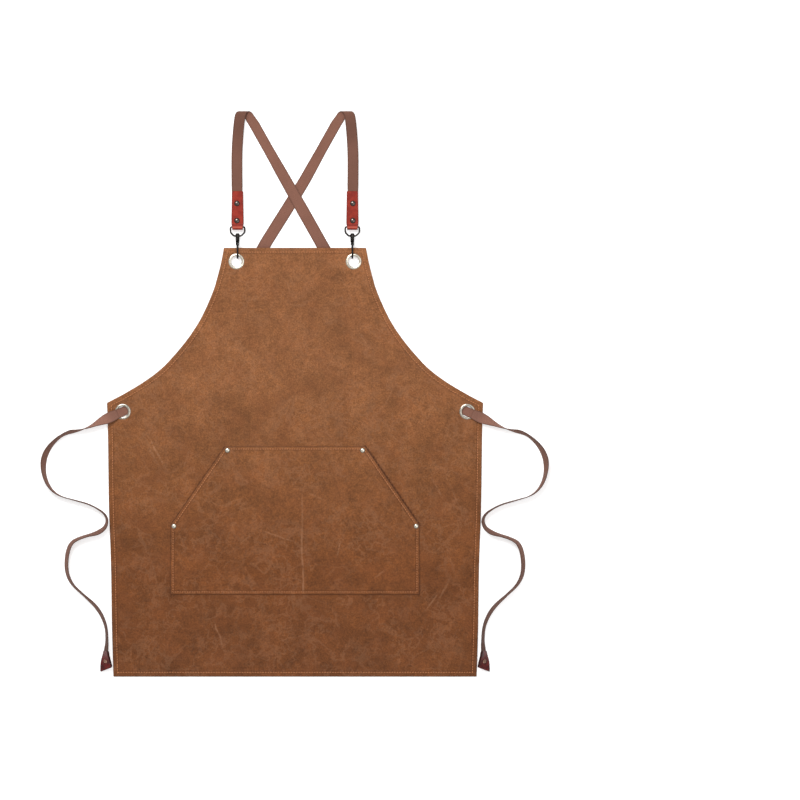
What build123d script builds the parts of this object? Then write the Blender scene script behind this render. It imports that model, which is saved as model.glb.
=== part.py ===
from build123d import *
import math
import os

# Butcher apron in waxed canvas, lying face up on a flat surface.
# X runs across the apron, +Y up towards the bib, +Z out of the front face.
# Left is the -X side as the front is seen. All sizes in millimetres.

os.makedirs("parts", exist_ok=True)

# ---------------------------------------------------------------- dimensions
HALF_LEN = 514.7        # bottom hem to middle, and middle to shoulder fold
CLOTH_T = 1.0           # waxed canvas
CLOTH_Z = 2.8           # underside of the cloth over most of the panel
HEM_W = 11.0            # width of the turned hem
BIB_Z = 7.4             # underside of the cloth at the bib, held up by the hooks
BIB_HEM_Z = 6.0         # underside of the hem at the bib
RAMP_Y0, RAMP_Y1 = 140.0, 225.0

# half outline of the panel, from the bib's top corner down to the bottom hem
OUTLINE = [(129.2, 265.3), (132.5, 247.0), (136.5, 228.9), (145.6, 196.1),
           (158.4, 163.4), (174.7, 130.6), (196.6, 97.8), (223.9, 65.1),
           (245.7, 43.2), (274.9, 21.4), (311.3, -0.5), (342.2, -16.8),
           (340.4, -70.0), (338.6, -201.0), (334.9, -310.0), (333.1, -419.0),
           (330.4, -514.7)]

# brass-nickel eyelets
EYE_R = 9.75            # hole
EYE_WALL = 0.7
FLANGE_R = 14.25
FLANGE_T = 1.0
WASHER_R = 13.25
WASHER_T = 0.7
ROLL_T = 0.3
BIB_EYE = (106.7, 240.7)
WAIST_EYE = (313.5, -32.5)

# pocket
POCKET_Y0, POCKET_Y1, POCKET_YS = -365.4, -96.0, -239.8
POCKET_HB, POCKET_HT = 226.6, 127.4
POCKET_H = 7.0          # how far the pouch stands off the panel
POCKET_RIVETS = [(-123.0, -103.0), (123.0, -103.0), (-220.5, -241.0), (220.5, -241.0)]
RIVET_CAP_R = 4.7
RIVET_SHANK_R = 1.5
SHANK_HOLE_R = 1.55

# webbing
WEB_W, WEB_T = 20.0, 1.5
LEAN = math.tan(math.radians(29.4))     # slant of the back runs
FOLD_R = 3.5
HOOK_X = 104.4
HOOK_Z = 8.7            # height of the swivel axis
TAB_X = 104.4
TAB_RIVET_X = 105.4
TAB_W = 22.0
TAB_RIVETS_Y = [346.1, 314.7]
LEATHER_T = 1.6

# swivel snap hook
WIRE = 3.2
HOOK_HALF = 7.1         # swivel axis to the wire's centre line
EYE_BAR_Y = 303.2
GATE_PIVOT = (272.0, 15.2)
PIN_R = 0.8
GATE_BORE_R = 0.85
POST_R = 1.8
POST_BORE_R = 1.85

# way out of the waist eyelet
OUT = math.radians(-24.0)
UX, UY = math.cos(OUT), math.sin(OUT)

# free end of the webbing: plan of its centre line, from the eyelet to the tip
TIE_ROUTE = [(322.6, -36.6), (350.0, -48.8), (385.0, -65.5), (419.4, -70.7),
             (447.5, -95.6), (459.3, -124.1), (454.0, -160.2), (434.7, -184.6),
             (400.2, -194.3), (369.1, -202.8), (338.9, -223.2), (346.9, -250.7),
             (392.0, -262.0), (411.3, -274.8), (417.3, -316.2), (408.2, -345.1),
             (382.7, -368.1), (358.2, -390.4), (343.5, -420.4), (341.6, -450.5),
             (343.2, -466.0)]
TIE_T = 3.0             # thickness given to the standing webbing

TIP_C = (343.4, -486.6)
TIP_L, TIP_W, TIP_T = 38.0, 23.0, 4.7
TIP_LEAN = 50.0         # from upright, the top edge over towards the panel


# ---------------------------------------------------------------- helpers
def offset_points(points, half):
    """Corner points of the two edges of a band that follows the points."""
    left, right = [], []
    n = len(points)
    for i, (x, y) in enumerate(points):
        dirs = []
        if i > 0:
            a = points[i - 1]
            d = math.hypot(x - a[0], y - a[1])
            dirs.append(((x - a[0]) / d, (y - a[1]) / d))
        if i < n - 1:
            b = points[i + 1]
            d = math.hypot(b[0] - x, b[1] - y)
            dirs.append(((b[0] - x) / d, (b[1] - y) / d))
        nx = -sum(d[1] for d in dirs)
        ny = sum(d[0] for d in dirs)
        m = math.hypot(nx, ny)
        nx, ny = nx / m, ny / m
        c = -dirs[0][1] * nx + dirs[0][0] * ny
        left.append((x + nx * half / c, y + ny * half / c))
        right.append((x - nx * half / c, y - ny * half / c))
    return left, right


def arc_radii(points):
    """Arc radius at each inner corner: 0.45 of the shorter run over tan(half turn)."""
    radii = []
    for a, b, c in zip(points[:-2], points[1:-1], points[2:]):
        r1 = math.hypot(b[0] - a[0], b[1] - a[1])
        r2 = math.hypot(c[0] - b[0], c[1] - b[1])
        t = math.atan2(c[1] - b[1], c[0] - b[0]) - math.atan2(b[1] - a[1], b[0] - a[0])
        t = abs((t + math.pi) % (2 * math.pi) - math.pi)
        radii.append(0.45 * min(r1, r2) / math.tan(t / 2))
    return radii


HOLE_PLANE = Plane(origin=(WAIST_EYE[0], WAIST_EYE[1], 0), x_dir=(UX, UY, 0), z_dir=(UY, -UX, 0))


def at_hole(u, v):
    """Plan point u along the way out and v to its left, from the waist eyelet."""
    return (WAIST_EYE[0] + UX * u - UY * v, WAIST_EYE[1] + UY * u + UX * v)


# ---------------------------------------------------------------- panel
with BuildPart() as hem_band:
    with BuildSketch():
        with BuildLine():
            Polyline(*OUTLINE, *[(-x, y) for x, y in reversed(OUTLINE)], close=True)
        make_face()
        offset(amount=-HEM_W, kind=Kind.INTERSECTION, mode=Mode.SUBTRACT)
    extrude(amount=12)
    with BuildSketch(Plane.YZ):
        with BuildLine():
            Polyline((-520, 0), (RAMP_Y0, 0), (RAMP_Y1, BIB_HEM_Z), (270, BIB_HEM_Z),
                     (270, BIB_Z + 0.4), (RAMP_Y1, BIB_Z + 0.4), (RAMP_Y0, CLOTH_Z + 0.4),
                     (-520, CLOTH_Z + 0.4), close=True)
        make_face()
    extrude(amount=400, both=True, mode=Mode.INTERSECT)

with BuildPart() as apron_panel:
    with BuildSketch():
        with BuildLine():
            Polyline(*OUTLINE, *[(-x, y) for x, y in reversed(OUTLINE)], close=True)
        make_face()
    extrude(amount=12)
    with BuildSketch(Plane.YZ):
        with BuildLine():
            Polyline((-520, CLOTH_Z), (RAMP_Y0, CLOTH_Z), (RAMP_Y1, BIB_Z), (270, BIB_Z),
                     (270, BIB_Z + CLOTH_T), (RAMP_Y1, BIB_Z + CLOTH_T),
                     (RAMP_Y0, CLOTH_Z + CLOTH_T), (-520, CLOTH_Z + CLOTH_T), close=True)
        make_face()
    extrude(amount=400, both=True, mode=Mode.INTERSECT)
    add(hem_band.part)
    with BuildSketch():
        with Locations((-BIB_EYE[0], BIB_EYE[1]), (BIB_EYE[0], BIB_EYE[1]),
                       (-WAIST_EYE[0], WAIST_EYE[1]), (WAIST_EYE[0], WAIST_EYE[1])):
            Circle(EYE_R + EYE_WALL + 0.05)
        with Locations(*POCKET_RIVETS):
            Circle(SHANK_HOLE_R)
    extrude(amount=20, mode=Mode.SUBTRACT)
apron_panel.part.label = "apron_panel"

# ---------------------------------------------------------------- pocket
PZ = CLOTH_Z + CLOTH_T
with BuildPart() as pouch_space:
    with BuildSketch(Plane.XY.offset(PZ - 1)):
        with Locations((0, (POCKET_Y0 + POCKET_Y1) / 2)):
            Rectangle(2 * (POCKET_HB - 13), POCKET_Y1 - POCKET_Y0)
    extrude(amount=12)
    with BuildSketch(Plane.YZ):
        with BuildLine():
            Polyline((POCKET_Y0 + 13, PZ - 1), (POCKET_Y0 + 13, PZ), (POCKET_Y0 + 36, PZ + POCKET_H - 1),
                     (POCKET_Y1 - 36, PZ + POCKET_H - 1), (POCKET_Y1 - 15, PZ), (POCKET_Y1 - 15, PZ - 1),
                     close=True)
        make_face()
    extrude(amount=400, both=True, mode=Mode.INTERSECT)
    with BuildSketch(Plane.XZ):
        with BuildLine():
            Polyline((-POCKET_HB + 14, PZ - 1), (-POCKET_HB + 14, PZ), (-POCKET_HB + 36, PZ + POCKET_H - 1),
                     (POCKET_HB - 36, PZ + POCKET_H - 1), (POCKET_HB - 14, PZ), (POCKET_HB - 14, PZ - 1),
                     close=True)
        make_face()
    extrude(amount=600, both=True, mode=Mode.INTERSECT)

with BuildPart() as front_pocket:
    with BuildSketch(Plane.XY.offset(PZ)):
        with BuildLine():
            Polyline((-POCKET_HB, POCKET_Y0), (POCKET_HB, POCKET_Y0), (POCKET_HB, POCKET_YS),
                     (POCKET_HT, POCKET_Y1), (-POCKET_HT, POCKET_Y1), (-POCKET_HB, POCKET_YS), close=True)
        make_face()
    extrude(amount=POCKET_H)
    with BuildSketch(Plane.YZ):
        with BuildLine():
            Polyline((POCKET_Y0, PZ), (POCKET_Y0, PZ + 1), (POCKET_Y0 + 12, PZ + 1), (POCKET_Y0 + 35, PZ + POCKET_H),
                     (POCKET_Y1 - 35, PZ + POCKET_H), (POCKET_Y1 - 14, PZ + 1), (POCKET_Y1, PZ + 1),
                     (POCKET_Y1, PZ), close=True)
        make_face()
    extrude(amount=400, both=True, mode=Mode.INTERSECT)
    with BuildSketch(Plane.XZ):
        with BuildLine():
            Polyline((-POCKET_HB, PZ), (-POCKET_HB, PZ + 1), (-POCKET_HB + 13, PZ + 1),
                     (-POCKET_HB + 35, PZ + POCKET_H), (POCKET_HB - 35, PZ + POCKET_H),
                     (POCKET_HB - 13, PZ + 1), (POCKET_HB, PZ + 1), (POCKET_HB, PZ), close=True)
        make_face()
    extrude(amount=600, both=True, mode=Mode.INTERSECT)
    add(pouch_space.part, mode=Mode.SUBTRACT)
    with BuildSketch():
        with Locations(*POCKET_RIVETS):
            Circle(SHANK_HOLE_R)
    extrude(amount=20, mode=Mode.SUBTRACT)
front_pocket.part.label = "front_pocket"

# domed rivets at the pocket's corners, and their burrs behind the cloth
with BuildPart() as one_pocket_cap:
    with BuildSketch(Plane.XY.offset(PZ + 1)):
        Circle(RIVET_CAP_R)
    extrude(amount=1.9)
    fillet(one_pocket_cap.faces().sort_by(Axis.Z)[-1].edges(), 1.5)
    with BuildSketch(Plane.XY.offset(CLOTH_Z - 0.6)):
        Circle(RIVET_SHANK_R)
    extrude(amount=PZ + 1.2 - CLOTH_Z + 0.6)
with BuildPart() as pocket_rivet_caps:
    with Locations(*[(x, y, 0) for x, y in POCKET_RIVETS]):
        add(one_pocket_cap.part)
pocket_rivet_caps.part.label = "pocket_rivet_caps"

with BuildPart() as pocket_rivet_backs:
    with BuildSketch(Plane.XY.offset(CLOTH_Z)):
        with Locations(*POCKET_RIVETS):
            Circle(4.4)
    extrude(amount=-1.0, taper=18)
    with BuildSketch(Plane.XY.offset(CLOTH_Z)):
        with Locations(*POCKET_RIVETS):
            Circle(RIVET_SHANK_R + 0.01)
    extrude(amount=-2.0, mode=Mode.SUBTRACT)
pocket_rivet_backs.part.label = "pocket_rivet_backs"


# ---------------------------------------------------------------- eyelets
def eyelet_profile(z_cloth):
    """Half section of a rolled eyelet whose flange sits on the cloth."""
    top = z_cloth + CLOTH_T
    low = z_cloth - WASHER_T - ROLL_T
    with BuildLine() as line:
        Polyline((EYE_R, low), (EYE_R + 2.3, low), (EYE_R + 2.3, low + ROLL_T),
                 (EYE_R + EYE_WALL, low + ROLL_T), (EYE_R + EYE_WALL, top), (FLANGE_R, top),
                 (FLANGE_R, top + 0.3))
        ThreePointArc((FLANGE_R, top + 0.3), ((EYE_R + FLANGE_R) / 2 + 0.3, top + FLANGE_T),
                      (EYE_R, top + 0.3))
        Line((EYE_R, top + 0.3), (EYE_R, low))
    return line


with BuildPart() as bib_ring:
    with BuildSketch(Plane.XZ):
        add(eyelet_profile(BIB_Z).line)
        make_face()
    revolve(axis=Axis.Z)
with BuildPart() as waist_ring:
    with BuildSketch(Plane.XZ):
        add(eyelet_profile(CLOTH_Z).line)
        make_face()
    revolve(axis=Axis.Z)
with BuildPart() as washer_ring:
    with BuildSketch():
        Circle(WASHER_R)
        Circle(EYE_R + EYE_WALL + 0.05, mode=Mode.SUBTRACT)
    extrude(amount=WASHER_T)
    fillet(washer_ring.edges().filter_by(GeomType.CIRCLE).group_by(Axis.Z)[0].sort_by(SortBy.RADIUS)[-1], 0.3)

with BuildPart() as bib_eyelet_left:
    with Locations((-BIB_EYE[0], BIB_EYE[1], 0)):
        add(bib_ring.part)
bib_eyelet_left.part.label = "bib_eyelet_left"
with BuildPart() as bib_eyelet_right:
    with Locations((BIB_EYE[0], BIB_EYE[1], 0)):
        add(bib_ring.part)
bib_eyelet_right.part.label = "bib_eyelet_right"
with BuildPart() as bib_washer_left:
    with Locations((-BIB_EYE[0], BIB_EYE[1], BIB_Z - WASHER_T)):
        add(washer_ring.part)
bib_washer_left.part.label = "bib_washer_left"
with BuildPart() as bib_washer_right:
    with Locations((BIB_EYE[0], BIB_EYE[1], BIB_Z - WASHER_T)):
        add(washer_ring.part)
bib_washer_right.part.label = "bib_washer_right"
with BuildPart() as waist_eyelet_left:
    with Locations((-WAIST_EYE[0], WAIST_EYE[1], 0)):
        add(waist_ring.part)
waist_eyelet_left.part.label = "waist_eyelet_left"
with BuildPart() as waist_eyelet_right:
    with Locations((WAIST_EYE[0], WAIST_EYE[1], 0)):
        add(waist_ring.part)
waist_eyelet_right.part.label = "waist_eyelet_right"
with BuildPart() as waist_washer_left:
    with Locations((-WAIST_EYE[0], WAIST_EYE[1], CLOTH_Z - WASHER_T)):
        add(washer_ring.part)
waist_washer_left.part.label = "waist_washer_left"
with BuildPart() as waist_washer_right:
    with Locations((WAIST_EYE[0], WAIST_EYE[1], CLOTH_Z - WASHER_T)):
        add(washer_ring.part)
waist_washer_right.part.label = "waist_washer_right"

# ---------------------------------------------------------------- straps
# Modelled for the strap hooked at the left: it goes up the front, folds over the
# shoulder, runs slanting down behind, under the panel and up through the right
# waist eyelet. The right one is its mirror, but flat where the other crosses it.
FRONT_RUN = [(-104.9, 309.5), (-105.2, 372.0), (-100.0, HALF_LEN - FOLD_R)]
y_top = HALF_LEN - FOLD_R
BACK_RUN = [(-77.4 - (y_top - 498.3) * LEAN, y_top), (160.0, 498.3 - (160.0 + 77.4) / LEAN),
            (200.0, 31.0), at_hole(-60, 0), at_hole(-16, 0)]

with BuildPart() as strap_front:
    with BuildSketch():
        lf, rt = offset_points(FRONT_RUN, WEB_W / 2)
        with BuildLine():
            Polyline(*lf, *reversed(rt), close=True)
        make_face()
    extrude(amount=16)
    with BuildSketch(Plane.YZ):
        with BuildLine():
            Polyline((309.5, HOOK_Z - 0.75), (372, HOOK_Z - 0.75), (y_top, 2 * FOLD_R - WEB_T),
                     (y_top, 2 * FOLD_R), (372, HOOK_Z + 0.75), (309.5, HOOK_Z + 0.75), close=True)
        make_face()
    extrude(amount=400, both=True, mode=Mode.INTERSECT)
    with BuildSketch():
        with Locations(*[(-TAB_RIVET_X, y) for y in TAB_RIVETS_Y]):
            Circle(SHANK_HOLE_R)
    extrude(amount=20, mode=Mode.SUBTRACT)

with BuildPart() as strap_fold:
    with BuildSketch(Plane.YZ.offset(-108.5)):
        with BuildLine():
            Polyline((y_top - 0.5, 0), (y_top, 0))
            ThreePointArc((y_top, 0), (y_top + FOLD_R, FOLD_R), (y_top, 2 * FOLD_R))
            Polyline((y_top, 2 * FOLD_R), (y_top - 0.5, 2 * FOLD_R), (y_top - 0.5, 2 * FOLD_R - WEB_T),
                     (y_top, 2 * FOLD_R - WEB_T))
            ThreePointArc((y_top, 2 * FOLD_R - WEB_T), (y_top + FOLD_R - WEB_T, FOLD_R), (y_top, WEB_T))
            Polyline((y_top, WEB_T), (y_top - 0.5, WEB_T), (y_top - 0.5, 0))
        make_face()
    extrude(amount=32.5)

with BuildPart() as strap_back_plan:
    with BuildSketch():
        lf, rt = offset_points(BACK_RUN, WEB_W / 2)
        with BuildLine():
            Polyline(*lf, at_hole(-9.5, 6.5), at_hole(-6, 6.5), at_hole(-6, -6.5), at_hole(-9.5, -6.5),
                     *reversed(rt), close=True)
        make_face()
    extrude(amount=6)

HUMP = 1.75
with BuildPart() as strap_back_over:
    add(strap_back_plan.part)
    with BuildSketch(Plane.YZ):
        with BuildLine():
            Polyline((-60, 0), (295, 0), (325, HUMP), (397, HUMP), (427, 0), (520, 0),
                     (520, WEB_T), (427, WEB_T), (397, HUMP + WEB_T), (325, HUMP + WEB_T), (295, WEB_T),
                     (-60, WEB_T), close=True)
        make_face()
    extrude(amount=400, both=True, mode=Mode.INTERSECT)

with BuildPart() as strap_back_flat:
    add(strap_back_plan.part)
    with BuildSketch(Plane.YZ):
        with BuildLine():
            Polyline((-60, 0), (520, 0), (520, WEB_T), (-60, WEB_T), close=True)
        make_face()
    extrude(amount=400, both=True, mode=Mode.INTERSECT)

LEAD_Z = CLOTH_Z + CLOTH_T + FLANGE_T + 0.1
with BuildPart() as strap_through:
    with BuildSketch(HOLE_PLANE):
        with BuildLine():
            Polyline((-9.0, 0.0), (-7.6, 0.1), (7.6, LEAD_Z), (9.0, LEAD_Z), (9.0, LEAD_Z + WEB_T),
                     (7.3, LEAD_Z + WEB_T), (-7.4, 1.68), (-8.0, WEB_T), (-9.0, WEB_T), close=True)
        make_face()
    extrude(amount=6.5, both=True)

with BuildPart() as strap_left:
    add(strap_front.part)
    add(strap_fold.part)
    add(strap_back_over.part)
    add(strap_through.part)
strap_left.part.label = "strap_left"

with BuildPart() as strap_right_master:
    add(strap_front.part)
    add(strap_fold.part)
    add(strap_back_flat.part)
    add(strap_through.part)
with BuildPart() as strap_right:
    mirror(strap_right_master.part, about=Plane.YZ)
strap_right.part.label = "strap_right"

# ---------------------------------------------------------------- leather tabs
with BuildPart() as leather_tab_left:
    with BuildSketch(Plane.YZ.offset(-TAB_X - TAB_W / 2)):
        z = HOOK_Z
        with BuildLine():
            Polyline((368.5, z + 2.35), (310.5, z + 2.35), (306.0, z + 3.6), (301.1, z + 3.6))
            ThreePointArc((301.1, z + 3.6), (297.5, z), (301.1, z - 3.6))
            Polyline((301.1, z - 3.6), (306.0, z - 3.6), (310.5, z - 2.35), (368.5, z - 2.35),
                     (368.5, z - 0.75), (309.2, z - 0.75), (305.7, z - 2.0), (301.1, z - 2.0))
            ThreePointArc((301.1, z - 2.0), (299.1, z), (301.1, z + 2.0))
            Polyline((301.1, z + 2.0), (305.7, z + 2.0), (309.2, z + 0.75), (368.5, z + 0.75),
                     (368.5, z + 2.35))
        make_face()
    extrude(amount=TAB_W)
    with BuildSketch():
        with Locations(*[(-TAB_RIVET_X, y) for y in TAB_RIVETS_Y]):
            Circle(SHANK_HOLE_R)
    extrude(amount=20, mode=Mode.SUBTRACT)
leather_tab_left.part.label = "leather_tab_left"
with BuildPart() as leather_tab_right:
    mirror(leather_tab_left.part, about=Plane.YZ)
leather_tab_right.part.label = "leather_tab_right"

ZT = HOOK_Z + 2.35
ZB = HOOK_Z - 2.35
with BuildPart() as one_tab_cap:
    with BuildSketch(Plane.XY.offset(ZT)):
        Circle(RIVET_CAP_R)
    extrude(amount=1.9)
    fillet(one_tab_cap.faces().sort_by(Axis.Z)[-1].edges(), 1.5)
    with BuildSketch(Plane.XY.offset(ZB - 0.8)):
        Circle(RIVET_SHANK_R)
    extrude(amount=ZT - ZB + 1.0)
with BuildPart() as one_tab_back:
    with BuildSketch(Plane.XY.offset(ZB)):
        Circle(4.4)
    extrude(amount=-1.0, taper=18)
    with BuildSketch(Plane.XY.offset(ZB)):
        Circle(RIVET_SHANK_R + 0.01)
    extrude(amount=-2.0, mode=Mode.SUBTRACT)

with BuildPart() as tab_rivet_caps_left:
    with Locations(*[(-TAB_RIVET_X, y, 0) for y in TAB_RIVETS_Y]):
        add(one_tab_cap.part)
tab_rivet_caps_left.part.label = "tab_rivet_caps_left"
with BuildPart() as tab_rivet_caps_right:
    mirror(tab_rivet_caps_left.part, about=Plane.YZ)
tab_rivet_caps_right.part.label = "tab_rivet_caps_right"
with BuildPart() as tab_rivet_backs_left:
    with Locations(*[(-TAB_RIVET_X, y, 0) for y in TAB_RIVETS_Y]):
        add(one_tab_back.part)
tab_rivet_backs_left.part.label = "tab_rivet_backs_left"
with BuildPart() as tab_rivet_backs_right:
    mirror(tab_rivet_backs_left.part, about=Plane.YZ)
tab_rivet_backs_right.part.label = "tab_rivet_backs_right"

# ---------------------------------------------------------------- swivel hooks
EYE_X, EYE_LOW = 29.2 / 2 - WIRE / 2, 285.3 + WIRE / 2
with BuildSketch(Plane.XY.offset(HOOK_Z)) as eye_plan:
    Polygon((-HOOK_X - EYE_X, EYE_BAR_Y), (-HOOK_X + EYE_X, EYE_BAR_Y), (-HOOK_X + EYE_X, 293.4),
            (-HOOK_X + 6.5, EYE_LOW), (-HOOK_X - 6.5, EYE_LOW), (-HOOK_X - EYE_X, 293.4), align=None)
    fillet(eye_plan.vertices().filter_by(lambda v: v.Y > 300), 2.4)
    fillet(eye_plan.vertices().filter_by(lambda v: v.Y < 295), 8.0)
EYE_RUN = eye_plan.sketch.faces()[0].outer_wire()
EYE_START = EYE_RUN.location_at(0)
with BuildPart() as swivel_eye_left:
    with BuildSketch(Plane(origin=EYE_START.position, z_dir=EYE_RUN % 0)):
        Circle(WIRE / 2)
    sweep(path=EYE_RUN)
    with BuildSketch(Plane(origin=(-HOOK_X, 285.0, HOOK_Z), z_dir=(0, 1, 0))):
        Circle(4.2)
    extrude(amount=4.6)
    with BuildSketch(Plane(origin=(-HOOK_X, 284.0, HOOK_Z), z_dir=(0, 1, 0))):
        Circle(POST_BORE_R)
    extrude(amount=8.0, mode=Mode.SUBTRACT)
swivel_eye_left.part.label = "swivel_eye_left"
with BuildPart() as swivel_eye_right:
    mirror(swivel_eye_left.part, about=Plane.YZ)
swivel_eye_right.part.label = "swivel_eye_right"

PY, PZZ = GATE_PIVOT
with BuildPart() as hook_body_left:
    # collar, swivel post and its peened head
    with BuildSketch(Plane(origin=(-HOOK_X, 276.5, HOOK_Z), z_dir=(0, 1, 0))):
        Circle(3.5)
    extrude(amount=8.3)
    with BuildSketch(Plane(origin=(-HOOK_X, 284.0, HOOK_Z), z_dir=(0, 1, 0))):
        Circle(POST_R)
    extrude(amount=6.5)
    with BuildSketch(Plane(origin=(-HOOK_X, 289.8, HOOK_Z), z_dir=(0, 1, 0))):
        Circle(3.3)
    extrude(amount=2.0)
    fillet(hook_body_left.faces().sort_by(Axis.Y)[-1].edges(), 0.9)
    # bent wire of the hook, in the plane of the swivel axis
    with BuildLine():
        FilletPolyline((-HOOK_X, 279.0, HOOK_Z), (-HOOK_X, 271.0, HOOK_Z - HOOK_HALF),
                       (-HOOK_X, 246.6, HOOK_Z - HOOK_HALF), (-HOOK_X, 246.6, HOOK_Z + HOOK_HALF),
                       (-HOOK_X, 254.3, HOOK_Z + HOOK_HALF), radius=[5.0, 7.0, 7.0])
    with BuildSketch(Plane(origin=(-HOOK_X, 254.3, HOOK_Z + HOOK_HALF), z_dir=(0, -1, 0))):
        Circle(WIRE / 2)
    sweep()
    # lug that carries the gate's pin
    with BuildSketch(Plane.YZ.offset(-HOOK_X - 3.0)):
        with BuildLine():
            Polyline((269.6, 12.8), (274.0, 6.9), (279.0, 6.9), (279.0, 12.0), (276.0, 17.4),
                     (269.6, 17.4), close=True)
        make_face()
    extrude(amount=6.0)
    with BuildSketch(Plane.YZ.offset(-HOOK_X - 1.9)):
        with BuildLine():
            Polyline((260, 12.0), (272.2, 12.0), (275.0, 14.0), (275.0, 19.0), (260, 19.0), close=True)
        make_face()
    extrude(amount=3.8, mode=Mode.SUBTRACT)
    with BuildSketch(Plane.YZ.offset(-HOOK_X - 4)):
        with Locations((PY, PZZ)):
            Circle(PIN_R)
    extrude(amount=8, mode=Mode.SUBTRACT)
hook_body_left.part.label = "hook_body_left"
with BuildPart() as hook_body_right:
    mirror(hook_body_left.part, about=Plane.YZ)
hook_body_right.part.label = "hook_body_right"

with BuildPart() as hook_gate_left:
    with BuildSketch(Plane.YZ.offset(-HOOK_X - 1.6)):
        with BuildLine():
            Polyline((254.7, 14.3), (269.2, 14.3), (269.2, 17.3), (254.7, 17.3), close=True)
        make_face()
    extrude(amount=3.2)
    fillet(hook_gate_left.edges().filter_by(Axis.Y), 1.1)
    with BuildSketch(Plane.YZ.offset(-HOOK_X - 1.7)):
        with Locations((PY, PZZ)):
            Circle(1.9)
        with Locations((PY - 2.5, PZZ)):
            Rectangle(5.0, 2.6)
    extrude(amount=2.3)
    with BuildSketch(Plane.YZ.offset(-HOOK_X - 4)):
        with Locations((PY, PZZ)):
            Circle(GATE_BORE_R)
    extrude(amount=8, mode=Mode.SUBTRACT)
hook_gate_left.part.label = "hook_gate_left"
with BuildPart() as hook_gate_right:
    mirror(hook_gate_left.part, about=Plane.YZ)
hook_gate_right.part.label = "hook_gate_right"

with BuildPart() as gate_pin_left:
    with BuildSketch(Plane.YZ.offset(-HOOK_X - 3.0)):
        with Locations((PY, PZZ)):
            Circle(PIN_R)
    extrude(amount=6.0)
gate_pin_left.part.label = "gate_pin_left"
with BuildPart() as gate_pin_right:
    mirror(gate_pin_left.part, about=Plane.YZ)
gate_pin_right.part.label = "gate_pin_right"

# torsion spring beside the gate's knuckle, on the pin, inside the lug
with BuildPart() as gate_spring_left:
    with BuildSketch(Plane.YZ.offset(-HOOK_X + 0.8)):
        with Locations((PY, PZZ)):
            Circle(1.7)
            Circle(0.95, mode=Mode.SUBTRACT)
        with Locations((PY + 1.85, PZZ + 1.3)):
            Rectangle(1.9, 0.6)
    extrude(amount=1.0)
gate_spring_left.part.label = "gate_spring_left"
with BuildPart() as gate_spring_right:
    mirror(gate_spring_left.part, about=Plane.YZ)
gate_spring_right.part.label = "gate_spring_right"

# ---------------------------------------------------------------- ties
# Free end of each strap, out of the waist eyelet: flat over the panel's edge,
# then standing on its edge in loose curves, then leaning into the leather tip.
STAND = TIE_ROUTE[1:]
STAND_R = arc_radii(STAND)
with BuildPart() as tie_stand:
    with BuildLine() as tie_path:
        FilletPolyline(*[(x, y, WEB_W / 2) for x, y in STAND], radius=STAND_R)
    start_dir = (STAND[1][0] - STAND[0][0], STAND[1][1] - STAND[0][1], 0)
    with BuildSketch(Plane(origin=(STAND[0][0], STAND[0][1], WEB_W / 2), x_dir=(0, 0, 1), z_dir=start_dir)):
        Rectangle(WEB_W, TIE_T)
    sweep()
stand_len = sum(e.length for e in tie_path.edges())

with BuildPart() as tie_lead:
    with BuildSketch():
        with BuildLine():
            Polyline(at_hole(9, 6.5), at_hole(16, WEB_W / 2), at_hole(62, WEB_W / 2), at_hole(62, -WEB_W / 2),
                     at_hole(16, -WEB_W / 2), at_hole(9, -6.5), close=True)
        make_face()
    extrude(amount=8)
    with BuildSketch(HOLE_PLANE):
        with BuildLine():
            Polyline((9, LEAD_Z), (34, LEAD_Z), (52, 0), (64, 0), (64, WEB_T), (52.4, WEB_T),
                     (34.4, LEAD_Z + WEB_T), (9, LEAD_Z + WEB_T), close=True)
        make_face()
    extrude(amount=60, both=True, mode=Mode.INTERSECT)

t = math.radians(TIP_LEAN)
TIP_Z = TIP_W / 2 * math.cos(t) + TIP_T / 2 * math.sin(t)
# local x: along the webbing's width, local y: along its length, local z: through it
TIP_PLANE = Plane(origin=(TIP_C[0], TIP_C[1], TIP_Z), x_dir=(-math.sin(t), 0, math.cos(t)),
                  z_dir=(math.cos(t), 0, math.sin(t)))
with BuildPart() as tie_end:
    with BuildSketch(TIP_PLANE.offset(-WEB_T / 2)):
        with Locations((0, 10.5 if TIP_PLANE.y_dir.Y > 0 else -10.5)):
            Rectangle(WEB_W - 0.5, 33.0)
        Circle(SHANK_HOLE_R, mode=Mode.SUBTRACT)
    extrude(amount=WEB_T)

with BuildPart() as tie_right:
    add(tie_lead.part)
    add(tie_stand.part)
    add(tie_end.part)
tie_right.part.label = "tie_right"
with BuildPart() as tie_left:
    mirror(tie_right.part, about=Plane.YZ)
tie_left.part.label = "tie_left"

UP = 1 if TIP_PLANE.y_dir.Y > 0 else -1
with BuildPart() as tie_tip_right:
    with BuildSketch(TIP_PLANE.offset(-TIP_T / 2)):
        Rectangle(TIP_W, TIP_L)
    extrude(amount=TIP_T)
    fillet(tie_tip_right.edges().filter_by(lambda e: abs(e.center().Y - (TIP_C[1] - TIP_L / 2)) < 0.2
                                           and e.length > TIP_W - 1), 1.8)
    with BuildSketch(TIP_PLANE.offset(-(WEB_T + 0.1) / 2)):
        with Locations((0, UP * 1.6)):
            Rectangle(TIP_W + 4, TIP_L)
    extrude(amount=WEB_T + 0.1, mode=Mode.SUBTRACT)
    with BuildSketch(TIP_PLANE.offset(-5)):
        Circle(SHANK_HOLE_R)
    extrude(amount=10, mode=Mode.SUBTRACT)
tie_tip_right.part.label = "tie_tip_right"
with BuildPart() as tie_tip_left:
    mirror(tie_tip_right.part, about=Plane.YZ)
tie_tip_left.part.label = "tie_tip_left"

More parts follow.
